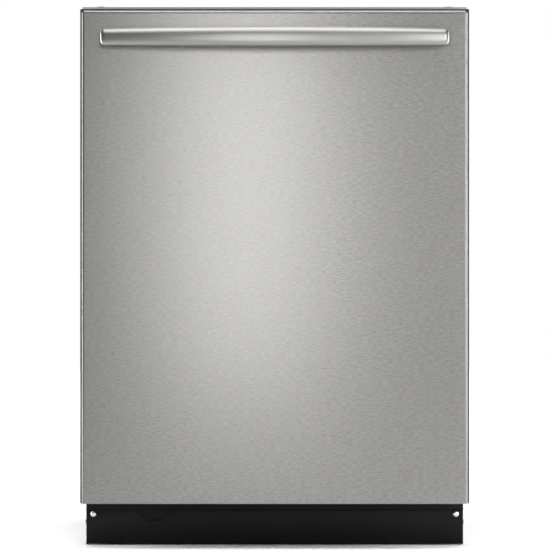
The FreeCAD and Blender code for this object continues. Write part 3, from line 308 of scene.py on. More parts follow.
# -------------------------------------------------------------------------- mesh tools
class Shape:
    """A mesh under way, in metres and in the frame's own place."""

    def __init__(self) -> None:
        """Start empty."""
        self.bm = bmesh.new()

    def soften(self, edges: Iterable[bmesh.types.BMEdge], radius: float, steps: int = 3) -> None:
        """Round some edges."""
        bmesh.ops.bevel(self.bm, geom=list(edges), offset=radius, offset_type="OFFSET",
                        segments=steps, profile=0.5, affect="EDGES", material=-1,
                        clamp_overlap=True)

    def block(self, low: Sequence[float], high: Sequence[float], radius: float = 0.0,
              steps: int = 2, wanted: Callable[[bmesh.types.BMEdge], bool] | None = None) -> None:
        """Add a box between two corners, with rounded edges.

        Args:
            low: lowest corner.
            high: highest corner.
            radius: radius of the rounded edges, or 0.
            steps: segments in each rounding.
            wanted: picks the edges to round; all of them when left out.
        """
        middle = [(one + two) / 2 for one, two in zip(low, high)]
        size = [two - one for one, two in zip(low, high)]
        place = Matrix.Translation(middle) @ Matrix.Diagonal((*size, 1.0))
        made = bmesh.ops.create_cube(self.bm, size=1.0, matrix=place)
        if radius > 0:
            edges = {edge for vert in made["verts"] for edge in vert.link_edges}
            self.soften([edge for edge in edges if wanted is None or wanted(edge)], radius, steps)

    def bar(self, start: Sequence[float], axis: Axis, length: float, radius: float,
            sides: int = 24, end: float = 0.0, tip: float | None = None) -> None:
        """Add a round bar or a cone from a start point along an axis.

        Args:
            start: middle of the first end.
            axis: the way it runs, towards the positive side.
            length: how long it is.
            radius: radius at the start.
            sides: facets round it.
            end: rounding of both end edges.
            tip: radius at the far end, when it tapers.
        """
        turn = Vector((0, 0, 1)).rotation_difference(axis.value).to_matrix().to_4x4()
        middle = Vector(start) + axis.value * length / 2
        made = bmesh.ops.create_cone(self.bm, cap_ends=True, segments=sides, radius1=radius,
                                     radius2=radius if tip is None else tip, depth=length,
                                     matrix=Matrix.Translation(middle) @ turn)
        if end > 0:
            caps = {face for vert in made["verts"] for face in vert.link_faces
                    if len(face.verts) > 4}
            self.soften({edge for face in caps for edge in face.edges}, end, 2)

    def lathe(self, middle: Sequence[float], axis: Axis, outline: Sequence[tuple[float, float]],
              steps: int = 32) -> None:
        """Spin an outline of (radius, height) points into a turned solid.

        Args:
            middle: where height 0 of the axis is.
            axis: the spin axis.
            outline: points from one end to the other; a radius of 0 closes an end.
            steps: facets round it.
        """
        side = Vector((0, 0, 1)) if axis is not Axis.Z else Vector((1, 0, 0))
        origin = Vector(middle)
        verts = [self.bm.verts.new(origin + side * radius + axis.value * height)
                 for radius, height in outline]
        edges = [self.bm.edges.new(two) for two in zip(verts, verts[1:])]
        bmesh.ops.spin(self.bm, geom=verts + edges, cent=origin, axis=axis.value,
                       angle=math.tau, steps=steps, use_merge=True, use_duplicate=False)
        self.weld()

    def weld(self) -> None:
        """Merge points that coincide and turn every face outwards."""
        bmesh.ops.remove_doubles(self.bm, verts=self.bm.verts, dist=1e-6)
        bmesh.ops.recalc_face_normals(self.bm, faces=self.bm.faces)

    def mirror(self) -> None:
        """Add the same shape on the other side of the middle plane."""
        copy = bmesh.ops.duplicate(self.bm, geom=self.bm.verts[:] + self.bm.edges[:]
                                   + self.bm.faces[:])["geom"]
        verts = [item for item in copy if isinstance(item, bmesh.types.BMVert)]
        faces = [item for item in copy if isinstance(item, bmesh.types.BMFace)]
        bmesh.ops.scale(self.bm, vec=(-1, 1, 1), verts=verts)
        bmesh.ops.reverse_faces(self.bm, faces=faces)

    def turn(self, middle: Sequence[float], axis: Axis, angle: float) -> None:
        """Turn everything made so far about an axis through a point."""
        bmesh.ops.rotate(self.bm, cent=middle, verts=self.bm.verts,
                         matrix=Matrix.Rotation(angle, 3, axis.value))

    def mesh(self, name: str) -> bpy.types.Mesh:
        """Turn it into mesh data and free the working copy."""
        made = bpy.data.meshes.new(name)
        self.bm.to_mesh(made)
        self.bm.free()
        return made


def corners_of(node: str) -> tuple[Vector, Vector]:
    """Return a CAD node's lowest and highest corners at rest."""
    low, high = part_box(node)
    return Vector(low), Vector(high)


def in_mm(outline: Sequence[tuple[float, float]]) -> list[tuple[float, float]]:
    """Return an outline that is given in millimetres, in metres."""
    return [(radius * MM, along * MM) for radius, along in outline]


def round_turn(count: int) -> list[float]:
    """Return evenly spaced angles round a full turn."""
    return [math.tau * number / count for number in range(count)]


def wire_mesh(name: str, paths: Sequence[Sequence[Point]], radius: float, bend: float,
              sides: int = 3, closed: bool = False) -> bpy.types.Mesh:
    """Sweep round wires along paths whose corners are bent to a radius.

    Args:
        name: the mesh's name.
        paths: corner points of each wire.
        radius: wire radius.
        bend: radius of each bend.
        sides: bevel resolution; 3 gives ten facets round.
        closed: whether each wire joins its own start.

    Returns:
        The swept mesh.
    """
    curve = bpy.data.curves.new(name, "CURVE")
    curve.dimensions = "3D"
    curve.bevel_depth = radius
    curve.bevel_resolution = sides
    curve.use_fill_caps = not closed
    for path in paths:
        bent = bent_path([Vector(point) for point in path], bend, closed)
        spline = curve.splines.new("POLY")
        spline.points.add(len(bent) - 1)
        for point, place in zip(spline.points, bent):
            point.co = (*place, 1.0)
        spline.use_cyclic_u = closed
    holder = bpy.data.objects.new(name, curve)
    bpy.context.scene.collection.objects.link(holder)
    bpy.context.view_layer.update()
    made = bpy.data.meshes.new_from_object(holder.evaluated_get(
        bpy.context.evaluated_depsgraph_get()))
    bpy.data.objects.remove(holder)
    bpy.data.curves.remove(curve)
    return made


def bent_path(corners: list[Vector], bend: float, closed: bool) -> list[Vector]:
    """Replace each corner of a path by an arc of a few points.

    Args:
        corners: the path's corner points.
        bend: radius of the arcs.
        closed: whether the path joins its start.

    Returns:
        The points of the bent path.
    """
    count = len(corners)
    bent = []
    for number, corner in enumerate(corners):
        if not closed and number in (0, count - 1):
            bent.append(corner)
            continue
        before = corners[number - 1] - corner
        after = corners[(number + 1) % count] - corner
        half = before.angle(after) / 2
        if half > math.radians(89):
            bent.append(corner)
            continue
        reach = min(bend / math.tan(half), before.length * 0.48, after.length * 0.48)
        start = corner + before.normalized() * reach
        stop = corner + after.normalized() * reach
        for share in (0, 0.25, 0.5, 0.75, 1):
            one = start.lerp(corner, share)
            two = corner.lerp(stop, share)
            bent.append(one.lerp(two, share))
    return bent


def make_piece(name: str, mesh: bpy.types.Mesh, body: str, finish: Finish,
               replaces: Sequence[str] = (), sharp: float = 40.0) -> bpy.types.Object:
    """Make a finished object of a mesh: material, smooth shading and body.

    Args:
        name: the piece's name.
        mesh: its mesh, in place.
        body: the CAD body that it moves with.
        finish: what its surface is.
        replaces: CAD nodes that it stands for.
        sharp: edges sharper than this many degrees stay crisp.

    Returns:
        The new object.
    """
    mesh.name = name
    mesh.materials.clear()
    mesh.materials.append(finish.material())
    mesh.polygons.foreach_set("use_smooth", [True] * len(mesh.polygons))
    mesh.set_sharp_from_angle(angle=math.radians(sharp))
    made = bpy.data.objects.new(name, mesh)
    bpy.context.scene.collection.objects.link(made)
    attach(made, body)
    if replaces:
        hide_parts(*replaces)
    LOG.info("%s: %d faces on %s", name, len(mesh.polygons), body)
    return made


def flatten_shading(piece: bpy.types.Object) -> None:
    """Let the large flat faces of a sheet-metal piece shade flat, next to its soft bends."""
    normals = piece.modifiers.new("normals", "WEIGHTED_NORMAL")
    normals.keep_sharp = True
    normals.weight = 100


def dress(node: str, finish: Finish) -> None:
    """Give a CAD node that stays a finish of its own."""
    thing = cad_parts[node]
    thing.data.materials.clear()
    thing.data.materials.append(finish.material())


# -------------------------------------------------------------------------- the stage
@dataclass
class Studio:
    """Pale floor, soft light and the camera, square on to the door."""

    distance: float = 4.5          # camera to the door's face
    eye: float = 0.4275            # camera above the floor
    framed: float = 0.8566         # width that the picture takes in at the door's face
    aside: float = 0.0005

    def build(self) -> None:
        """Set up camera, world, lights and floor."""
        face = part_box("door_outer_panel")[0][1]
        self.camera(face)
        self.world()
        for name, (place, aim, size, watts) in self.softboxes(face).items():
            self.light(name, place, aim, size, watts)
        self.floor()

    @staticmethod
    def softboxes(face: float) -> dict[str, tuple[Point, Point, tuple[float, float], float]]:
        """Return each softbox: where it stands, what it faces, its size and its power."""
        return {
            "key_strip": ((-0.07, face - 2.0, 0.66), (-0.05, face, 0.5), (0.19, 1.05), 6.6),
            "right_panel": ((1.05, face - 1.9, 0.75), (0.15, face, 0.5), (0.55, 1.3), 17),
            "left_edge": ((-1.2, face - 0.14, 0.55), (-0.3, face, 0.5), (0.25, 1.3), 13),
            "right_edge": ((1.2, face - 0.14, 0.55), (0.3, face, 0.5), (0.25, 1.3), 13),
            "overhead": ((0.0, face - 0.4, 1.8), (0.0, face, 0.8), (1.3, 1.1), 15),
            "upper_front": ((0.0, face - 1.6, 1.95), (0.0, face, 0.8), (1.2, 0.7), 4.5),
            "floor_wash": ((0.0, 5.6, 4.0), (0.0, 5.6, 0.0), (16.0, 8.0), 900),
        }

    def camera(self, face: float) -> None:
        """Make the camera that looks along +Y at the door."""
        lens = bpy.data.cameras.new("front_camera")
        lens.sensor_width = 36.0
        lens.lens = lens.sensor_width * self.distance / self.framed
        lens.clip_end = 50
        made = bpy.data.objects.new("front_camera", lens)
        made.location = (self.aside, face - self.distance, self.eye)
        made.rotation_euler = (math.radians(90), 0, 0)
        bpy.context.scene.collection.objects.link(made)
        bpy.context.scene.camera = made

    def world(self) -> None:
        """Make an even studio surround, white behind the machine and greyer in front."""
        scene = bpy.context.scene
        scene.view_settings.view_transform = "Standard"
        world = bpy.data.worlds.new("studio")
        scene.world = world
        world.use_nodes = True
        tree = world.node_tree
        way = add_node(tree, "ShaderNodeTexCoord").outputs["Generated"]
        parts = add_node(tree, "ShaderNodeSeparateXYZ", links={"Vector": way})
        behind = add_node(tree, "ShaderNodeMapRange",
                          {"From Min": -0.6, "From Max": 0.5, "To Min": 0.03, "To Max": 0.25},
                          {"Value": parts.outputs["Y"]})
        above = add_node(tree, "ShaderNodeMapRange",
                         {"From Min": 0.35, "From Max": 0.95, "To Min": 0.03, "To Max": 0.2},
                         {"Value": parts.outputs["Z"]})
        either = add_node(tree, "ShaderNodeMath",
                          links={0: behind.outputs["Result"], 1: above.outputs["Result"]},
                          operation="MAXIMUM")
        seen = add_node(tree, "ShaderNodeLightPath")
        plain = add_node(tree, "ShaderNodeMath",
                         links={0: either.outputs[0], 1: seen.outputs["Is Camera Ray"]},
                         operation="MAXIMUM")
        tree.links.new(plain.outputs[0], tree.nodes["Background"].inputs["Strength"])
        tree.nodes["Background"].inputs["Color"].default_value = linear("ffffff")

    def light(self, name: str, place: Point, aim: Point, size: tuple[float, float],
              watts: float) -> None:
        """Add one rectangular softbox that faces a point."""
        lamp = bpy.data.lights.new(name, "AREA")
        lamp.shape = "RECTANGLE"
        lamp.size, lamp.size_y = size
        lamp.energy = watts
        made = bpy.data.objects.new(name, lamp)
        made.location = place
        made.rotation_euler = (Vector(aim) - Vector(place)).to_track_quat("-Z", "Y").to_euler()
        made.visible_camera = False
        bpy.context.scene.collection.objects.link(made)

    def floor(self) -> None:
        """Lay a wide sheet of pale paper under the machine."""
        ground = Shape()
        half = 8.0
        bmesh.ops.create_grid(ground.bm, x_segments=2, y_segments=2, size=half)
        made = bpy.data.objects.new("floor", ground.mesh("floor"))
        made.data.materials.append(FLOOR_PAPER.material())
        bpy.context.scene.collection.objects.link(made)


# --------------------------------------------------------------------------- the door
@dataclass
class DoorPanel:
    """The brushed outer panel: a shallow pan with rolled side and top edges."""

    sheet: float = 1.0 * MM
    roll: float = 3.4 * MM          # outside radius of the rolled edges
    corner: float = 5.0 * MM        # radius of the upper corners, seen from the front
    shade_strip: float = 1.9 * MM          # dark strip round sides and top, painted shade for the gap at the door's edges
    steps: int = 6

    def build(self) -> None:
        """Make the pan and its dark edge strip of painted shade."""
        low, high = corners_of("door_outer_panel")
        self.edge_shade_strip(low, high)
        low.x, high.x, high.z = low.x + self.shade_strip, high.x - self.shade_strip, high.z - self.shade_strip
        shape = Shape()

        def rolled(edge: bmesh.types.BMEdge) -> bool:
            """Pick the side and top edges of the face."""
            ends = [vert.co for vert in edge.verts]
            at_face = all(end.y < low.y + 1e-5 for end in ends)
            return at_face and not all(end.z < low.z + 1e-5 for end in ends)

        def upright(edge: bmesh.types.BMEdge) -> bool:
            """Pick the two upper corners, which run front to back."""
            one, two = (vert.co for vert in edge.verts)
            return abs(one.y - two.y) > 0.01 and min(one.z, two.z) > high.z - 1e-4

        shape.block(low, high)
        shape.soften([edge for edge in shape.bm.edges if upright(edge)], self.corner, self.steps)
        rear = [face for face in shape.bm.faces if face.normal.y > 0.9]
        bmesh.ops.delete(shape.bm, geom=rear, context="FACES")
        shape.soften([edge for edge in shape.bm.edges if rolled(edge)], self.roll, self.steps)
        front = max(shape.bm.faces, key=lambda face: face.calc_area())
        bmesh.ops.inset_region(shape.bm, faces=[front], thickness=2 * MM)
        bmesh.ops.recalc_face_normals(shape.bm, faces=shape.bm.faces)
        panel = make_piece("door_panel_skin", shape.mesh("door_panel_skin"), "door", DOOR_STEEL,
                           ["door_outer_panel"], sharp=50)
        wall = panel.modifiers.new("wall", "SOLIDIFY")
        wall.thickness = self.sheet
        wall.offset = -1

    def edge_shade_strip(self, low: Vector, high: Vector) -> None:
        """Edge the skin with a thin dark strip along both sides and the top: painted shade for the
        shadowed gap at the door's edges.
        """
        shape = Shape()
        near, rear = low.y + 2.2 * MM, high.y
        for side in Side:
            outer, inner = side.value * high.x, side.value * (high.x - self.shade_strip - 0.6 * MM)
            shape.block((min(outer, inner), near, low.z + 1 * MM),
                        (max(outer, inner), rear, high.z), 0.5 * MM, 2)
        shape.block((low.x + 1 * MM, near, high.z - self.shade_strip - 0.6 * MM),
                    (high.x - 1 * MM, rear, high.z), 0.5 * MM, 2)
        make_piece("door_edge_shade_strip", shape.mesh("shade_strip"), "door", CONSOLE_ABS)


@dataclass
class BarHandle:
    """The bowed bar handle: a flattened tube on two turned-in ends, with screws behind."""

    deep: float = 20 * MM
    bow: float = 14 * MM
    end_share: float = 0.844        # end section height over middle height
    stations: int = 48
    around: int = 40
    cap: float = 7 * MM             # length over which each end closes
    post: tuple[float, float] = (15 * MM, 19 * MM)
    post_inset: float = 16 * MM
    fillet: float = 4 * MM

    def build(self) -> None:
        """Make bar, posts and collars as one welded handle."""
        low, high = corners_of("door_handle")
        self.half = (high.x - low.x) / 2
        self.tall = high.z - low.z
        self.front = low.y
        self.height = (low.z + high.z) / 2
        shape = Shape()
        self.bar(shape)
        for side in Side:
            self.stand(shape, side, high.y)
        shape.weld()
        make_piece("handle_bar", shape.mesh("handle_bar"), "door", HANDLE_STEEL,
                   ["door_handle"], sharp=60)

    def middle(self, along: float) -> Vector:
        """Return the middle of the section at a place along the bar."""
        share = along / self.half
        return Vector((along, self.front + self.deep / 2 + self.bow * share * share, self.height))

    def bar(self, shape: Shape) -> None:
        """Sweep the oval section along the bow, closing both ends with a soft dome."""
        rings = []
        places = [self.half * math.sin(math.pi / 2 * step / self.stations)
                  for step in range(-self.stations, self.stations + 1)]
        for along in places:
            share = abs(along) / self.half
            tall = self.tall * (1 - (1 - self.end_share) * share * share) / 2
            left = max(0.0, (self.half - abs(along)) / self.cap)
            shrink = 1.0 if left >= 1 else max(0.02, math.sqrt(max(0.0, 1 - (1 - left) ** 2)))
            shrink = 0.55 + 0.45 * shrink if left < 1 else 1.0
            middle = self.middle(along)
            made = bmesh.ops.create_circle(shape.bm, segments=self.around, radius=1.0)["verts"]
            slope = math.atan2(2 * self.bow * along / self.half ** 2, 1)
            turn = Matrix.Rotation(slope, 4, "Z") @ Matrix.Rotation(math.radians(90), 4, "Y")
            for vert in made:
                rise, deep = self.squarish(vert.co.x, vert.co.y)
                vert.co = Vector((rise * tall * shrink, deep * self.deep / 2 * shrink, 0))
            bmesh.ops.transform(shape.bm, matrix=Matrix.Translation(middle) @ turn, verts=made)
            rings.append({edge for vert in made for edge in vert.link_edges})
        for one, two in zip(rings, rings[1:]):
            bmesh.ops.bridge_loops(shape.bm, edges=list(one | two))
        for ring in (rings[0], rings[-1]):
            bmesh.ops.edgeloop_fill(shape.bm, edges=[edge for edge in ring if edge.is_boundary])
        bmesh.ops.recalc_face_normals(shape.bm, faces=shape.bm.faces)

    @staticmethod
    def squarish(across: float, deep: float) -> tuple[float, float]:
        """Push a point of the unit circle outwards, so the section is a full oval."""
        angle = math.atan2(deep, across)
        power = 2 / 2.5
        return (math.copysign(abs(math.cos(angle)) ** power, math.cos(angle)),
                math.copysign(abs(math.sin(angle)) ** power, math.sin(angle)))

    def stand(self, shape: Shape, side: Side, door: float) -> None:
        """Add one post between bar and door, with a collar at the door."""
        along = side.value * (self.half - self.post_inset)
        start = self.middle(along)
        wide, tall = self.post
        shape.block((along - wide / 2, start.y, self.height - tall / 2),
                    (along + wide / 2, door, self.height + tall / 2), self.fillet, 4,
                    lambda edge: abs(edge.verts[0].co.y - edge.verts[1].co.y) > 1e-3)
        half_wide, half_tall = wide / 2 + 1.5 * MM, tall / 2 + 1.5 * MM
        shape.block((along - half_wide, door - 2.2 * MM, self.height - half_tall),
                    (along + half_wide, door, self.height + half_tall), 0.9 * MM, 2)


# ------------------------------------------------------------------- frame and toe kick
@dataclass
class ToeKick:
    """The black toe kick: a folded pan, its seam, its round vent and its screws."""

    sheet: float = 1.2 * MM
    fold: float = 2.0 * MM
    seam_height: float = 55 * MM
    vent_offset: float = -193 * MM
    vent_height: float = 60 * MM
    vent_radius: float = 23 * MM
    slot_pitch: float = 5.75 * MM

    def build(self) -> None:
        """Make the panel, the vent insert and the screws."""
        low, high = corners_of("toe_kick_panel")
        self.panel(low, high)
        self.vent(low.y)
        self.screws(low.y)

    def panel(self, low: Vector, high: Vector) -> None:
        """Make the pan: front, side returns and top fold, with a lap seam across it."""
        shape = Shape()
        shape.block(low, high)
        rear = [face for face in shape.bm.faces if face.normal.y > 0.9 or face.normal.z < -0.9]
        bmesh.ops.delete(shape.bm, geom=rear, context="FACES")
        bmesh.ops.bisect_plane(shape.bm, geom=shape.bm.verts[:] + shape.bm.edges[:]
                               + shape.bm.faces[:], dist=1e-6, plane_co=(0, 0, self.seam_height),
                               plane_no=(0, 0, 1))
        bmesh.ops.bisect_plane(shape.bm, geom=shape.bm.verts[:] + shape.bm.edges[:]
                               + shape.bm.faces[:], dist=1e-6,
                               plane_co=(0, 0, self.seam_height + 0.7 * MM), plane_no=(0, 0, 1))
        for vert in shape.bm.verts:
            if vert.co.y < low.y + 1e-5 and vert.co.z > self.seam_height + 0.3 * MM:
                vert.co.y += 0.9 * MM
        bends = [edge for edge in shape.bm.edges if edge.calc_face_angle(0) > 1.2
                 and all(vert.co.y < low.y + 2 * MM for vert in edge.verts)]
        shape.soften(bends, self.fold, 3)
        panel = make_piece("toe_kick_pan", shape.mesh("toe_kick_pan"), "cabinet", KICK_PAINT,
                           ["toe_kick_panel"])
        wall = panel.modifiers.new("wall", "SOLIDIFY")
        wall.thickness = self.sheet
        wall.offset = -1

    def vent(self, face: float) -> None:
        """Make the round vent insert: a rim and horizontal blades over a dark recess."""
        middle = (self.vent_offset, face, self.vent_height)
        shape = Shape()
        radius = self.vent_radius
        shape.lathe(middle, Axis.Y, [(0, 1.1 * MM), (radius - 2 * MM, 1.1 * MM),
                                     (radius - 1.6 * MM, 0.1 * MM), (radius - 0.8 * MM, -0.5 * MM),
                                     (radius, -0.3 * MM), (radius + 0.6 * MM, 1.0 * MM)], 48)
        count = int(radius / self.slot_pitch)
        for number in range(-count, count + 1):
            rise = number * self.slot_pitch
            reach = math.sqrt(max(0.0, (radius - 2.2 * MM) ** 2 - rise * rise))
            if reach > 3 * MM:
                shape.block((middle[0] - reach, face - 0.2 * MM, middle[2] + rise - 1.1 * MM),
                            (middle[0] + reach, face + 1.4 * MM, middle[2] + rise + 1.1 * MM),
                            0.5 * MM)
        make_piece("toe_kick_vent", shape.mesh("toe_kick_vent"), "cabinet", KICK_PAINT)

    def screws(self, face: float) -> None:
        """Make the dome-headed screws of toe kick, sides and countertop brackets."""
        high = Vector(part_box("case_screws")[1])
        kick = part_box("toe_kick_panel")
        shape = Shape()
        dome = ((0, 0), (2.2, 0.1), (3.8, 0.6), (4.5, 1.3), (4.5, 1.8), (0, 1.8))
        outline = [(radius * MM, rise * MM) for radius, rise in dome]
        shape.lathe((kick[1][0] - 11.5 * MM, face - 1.8 * MM, kick[1][2] - 49 * MM), Axis.Y,
                    outline, 24)
        shape.block((kick[1][0] - 14.3 * MM, face - 1.95 * MM, kick[1][2] - 49.5 * MM),
                    (kick[1][0] - 8.7 * MM, face - 1.6 * MM, kick[1][2] - 48.5 * MM))
        shape.bar((kick[1][0], face + 5 * MM, 36 * MM), Axis.X, high.x - kick[1][0], 4 * MM, 24,
                  0.5 * MM)
        shape.bar((274 * MM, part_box("tub_wrapper")[0][1] + 6 * MM, high.z - 0.5 * MM), Axis.Z,
                  0.5 * MM, 3.5 * MM, 24, 0.2 * MM)
        shape.mirror()
        shape.weld()
        make_piece("case_screw_heads", shape.mesh("case_screw_heads"), "cabinet", SCREW_ZINC,
                   ["case_screws"])


# ------------------------------------------------------------------------- the racks
def evenly(low: float, high: float, count: int) -> list[float]:
    """Return evenly spaced places from low to high, both included."""
    return [low + (high - low) * number / (count - 1) for number in range(count)]


@dataclass
class WireRack:
    """A rack of coated wire: U-shaped wires both ways, welded to three closed hoops."""

    level: str                      # "lower" or "upper"
    tall: float                     # floor wires to rim
    pin_reach: float                # rack side to the ends of the wheel pins
    axles: tuple[str, ...]          # CAD nodes of its wheels or rollers
    finger_dip: float = 16 * MM     # how far the front rim dips for the fingers
    wire: float = 2.0 * MM
    rim_wire: float = 2.6 * MM
    bend: float = 13 * MM
    corner: float = 22 * MM
    across: int = 17
    along: int = 15

    def build(self) -> None:
        """Make the rack, its wheel carriers and its wheels."""
        low, high = corners_of(f"{self.level}_rack_wires")
        self.weld = self.wire * 1.3
        self.half = high.x - self.pin_reach
        self.rim = high.z - self.wire
        self.floor = self.rim - self.tall
        self.front, self.rear = low.y + self.weld + self.wire, high.y - self.weld - self.wire
        self.frame_of_wires()
        self.carriers()
        for node in self.axles:
            self.wheels(node)

    def frame_of_wires(self) -> None:
        """Bend the wires: U shapes across and along, hoops, and the dipped front rail."""
        half, rise = self.half + self.weld, self.floor - self.weld
        paths = [[(-half, place, self.rim), (-half, place, rise), (half, place, rise),
                  (half, place, self.rim)]
                 for place in evenly(self.front + 14 * MM, self.rear - 14 * MM, self.along)]
        front, rear = self.front - self.weld, self.rear + self.weld
        paths += [[(place, front, self.rim), (place, front, self.floor), (place, rear, self.floor),
                   (place, rear, self.rim)]
                  for place in evenly(14 * MM - self.half, self.half - 14 * MM, self.across)]
        name = f"{self.level}_rack_basket"
        make_piece(name, wire_mesh(name, paths, self.wire, self.bend, 1), f"{self.level}_rack",
                   RACK_NYLON, [f"{self.level}_rack_wires"])
        hoops = [self.hoop(self.floor + self.tall * share) for share in (0.32, 0.66, 1.0)]
        name = f"{self.level}_rack_hoops"
        make_piece(name, wire_mesh(name, hoops, self.rim_wire, self.corner, 2, closed=True),
                   f"{self.level}_rack", RACK_NYLON)

    def hoop(self, height: float) -> list[Point]:
        """Return the corners of one closed hoop, whose top one dips in front."""
        dip = self.finger_dip if abs(height - self.rim) < 1 * MM else 0.0
        grip = 90 * MM
        corners = [(-self.half, self.front, height), (-grip - dip, self.front, height),
                   (-grip, self.front, height - dip), (grip, self.front, height - dip),
                   (grip + dip, self.front, height), (self.half, self.front, height),
                   (self.half, self.rear, height), (-self.half, self.rear, height)]
        return corners if dip else [corners[0], *corners[5:]]

    def carriers(self) -> None:
        """Make the clip-on carriers that hold the wheel pins on both sides."""
        shape = Shape()
        side = self.half + self.weld + self.wire
        for node in self.axles:
            low, high = corners_of(node)
            middle = (low + high) / 2
            top = middle.z + 40 * MM
            shape.block((side - 0.2 * MM, middle.y - 9 * MM, middle.z - 7 * MM),
                        (side + 1.6 * MM, middle.y + 9 * MM, top), 0.7 * MM, 2)
            shape.block((side - 6.4 * MM, middle.y - 13 * MM, top - 14 * MM),
                        (side - 0.1 * MM, middle.y + 13 * MM, top - 2 * MM), 1.5 * MM, 2)
            shape.bar((side, middle.y, middle.z), Axis.X, high.x - side + 2 * MM, 2.95 * MM, 20,
                      0.6 * MM)
            shape.bar((side + 1.6 * MM, middle.y, middle.z), Axis.X, 0.35 * MM, 5.5 * MM, 20)
        shape.mirror()
        make_piece(f"{self.level}_rack_carriers", shape.mesh("carriers"), f"{self.level}_rack",
                   BASKET_PLASTIC)

    def wheels(self, node: str) -> None:
        """Turn one pair of wheels: tread, dished web, hub and a bore for the pin."""
        low, high = corners_of(node)
        radius, wide = (high.z - low.z) / 2, self.wheel_width(node)
        start = (high.x - wide, (low.y + high.y) / 2, (low.z + high.z) / 2)
        web = radius * 0.74
        outline = [(3.05, 0.1), (5.0, 0.0), (web / MM, 1.3), (web / MM + 0.6, 0.2),
                   (radius / MM - 0.8, 0.0), (radius / MM, 0.9), (radius / MM, wide / MM - 0.9),
                   (radius / MM - 0.8, wide / MM), (web / MM + 0.6, wide / MM - 0.2),
                   (web / MM, wide / MM - 1.3), (5.0, wide / MM), (3.05, wide / MM - 0.1),
                   (3.05, 0.1)]
        shape = Shape()
        shape.lathe(start, Axis.X, in_mm(outline), 36)
        spokes = max(5, round(radius / MM / 3))
        for turn in round_turn(spokes):
            middle = Vector((start[0] + wide / 2, start[1] + math.cos(turn) * web * 0.62,
                             start[2] + math.sin(turn) * web * 0.62))
            size = Vector((wide - 0.6 * MM, web * 0.62, 1.1 * MM)) / 2
            made = bmesh.ops.create_cube(shape.bm, size=2.0,
                                         matrix=Matrix.Translation(middle)
                                         @ Matrix.Rotation(turn, 4, "X")
                                         @ Matrix.Diagonal((*size, 1.0)))
            shape.soften({edge for vert in made["verts"] for edge in vert.link_edges}, 0.3 * MM, 1)
        shape.mirror()
        make_piece(f"{node}_turned", shape.mesh(node), node, BASKET_PLASTIC,
                   [node], sharp=30)

    @staticmethod
    def wheel_width(node: str) -> float:
        """Return how wide one wheel of a pair is."""
        return 7 * MM if "roller" in node else 6 * MM


@dataclass
class TineRows:
    """Rows of leaning upright pins, each row on a foot wire."""

    node: str
    body: str
    rows: int
    pins: int
    wire: float = 1.7 * MM
    foot: float = 2.0 * MM
    lean: float = 5 * MM

    def build(self) -> None:
        """Bend each row: a foot wire and pins that bow back a little."""
        low, high = corners_of(self.node)
        places = evenly(low.x + self.foot, high.x - self.foot, self.rows)
        base, top = low.z + self.foot, high.z
        feet = [[(place, low.y, base), (place, high.y, base)] for place in places]
        pins = []
        for place in places:
            for along in evenly(low.y + 6 * MM, high.y - 6 * MM - self.lean, self.pins):
                pins.append([(place, along, base),
                             (place, along + self.lean * 0.3, (base + top) / 2),
                             (place, along + self.lean, top)])
        mesh = wire_mesh(self.node, pins, self.wire, 60 * MM, 1)
        make_piece(f"{self.node}_pins", mesh, self.body, RACK_NYLON, [self.node])
        mesh = wire_mesh(f"{self.node}_feet", feet, self.foot, 5 * MM, 1)
        make_piece(f"{self.node}_feet", mesh, self.body, RACK_NYLON)


@dataclass
class CupShelf:
    """A folding shelf: a hoop of wire with rungs and a moulded stem grip."""

    side: Side
    wire: float = 2.0 * MM
    rungs: int = 11

    def build(self) -> None:
        """Bend hoop and rungs and clip the grip to the free edge."""
        node = f"cup_shelf_{self.side.name.lower()}"
        low, high = corners_of(node)
        left, right = low.x + self.wire, high.x - self.wire
        level = (low.z + high.z) / 2
        free, fixed = (right, left) if self.side is Side.LEFT else (left, right)
        hoop = [(fixed, low.y + 1 * MM, level), (free, low.y + 1 * MM, level),
                (free, high.y - 1 * MM, level), (fixed, high.y - 1 * MM, level)]
        rungs = [[(fixed, place, level), (free, place, level)]
                 for place in evenly(low.y + 20 * MM, high.y - 20 * MM, self.rungs)]
        mesh = wire_mesh(node, [hoop, *rungs, [hoop[3], hoop[0]]], self.wire, 10 * MM, 1)
        make_piece(f"{node}_wires", mesh, node, RACK_NYLON, [node])
        shape = Shape()
        grip = free + self.side.value * 8 * MM
        shape.block((min(free, grip), low.y + 40 * MM, level - 1.8 * MM),
                    (max(free, grip), high.y - 40 * MM, level + 1.8 * MM), 1.2 * MM, 2)
        make_piece(f"{node}_grip", shape.mesh(node), node, BASKET_PLASTIC)


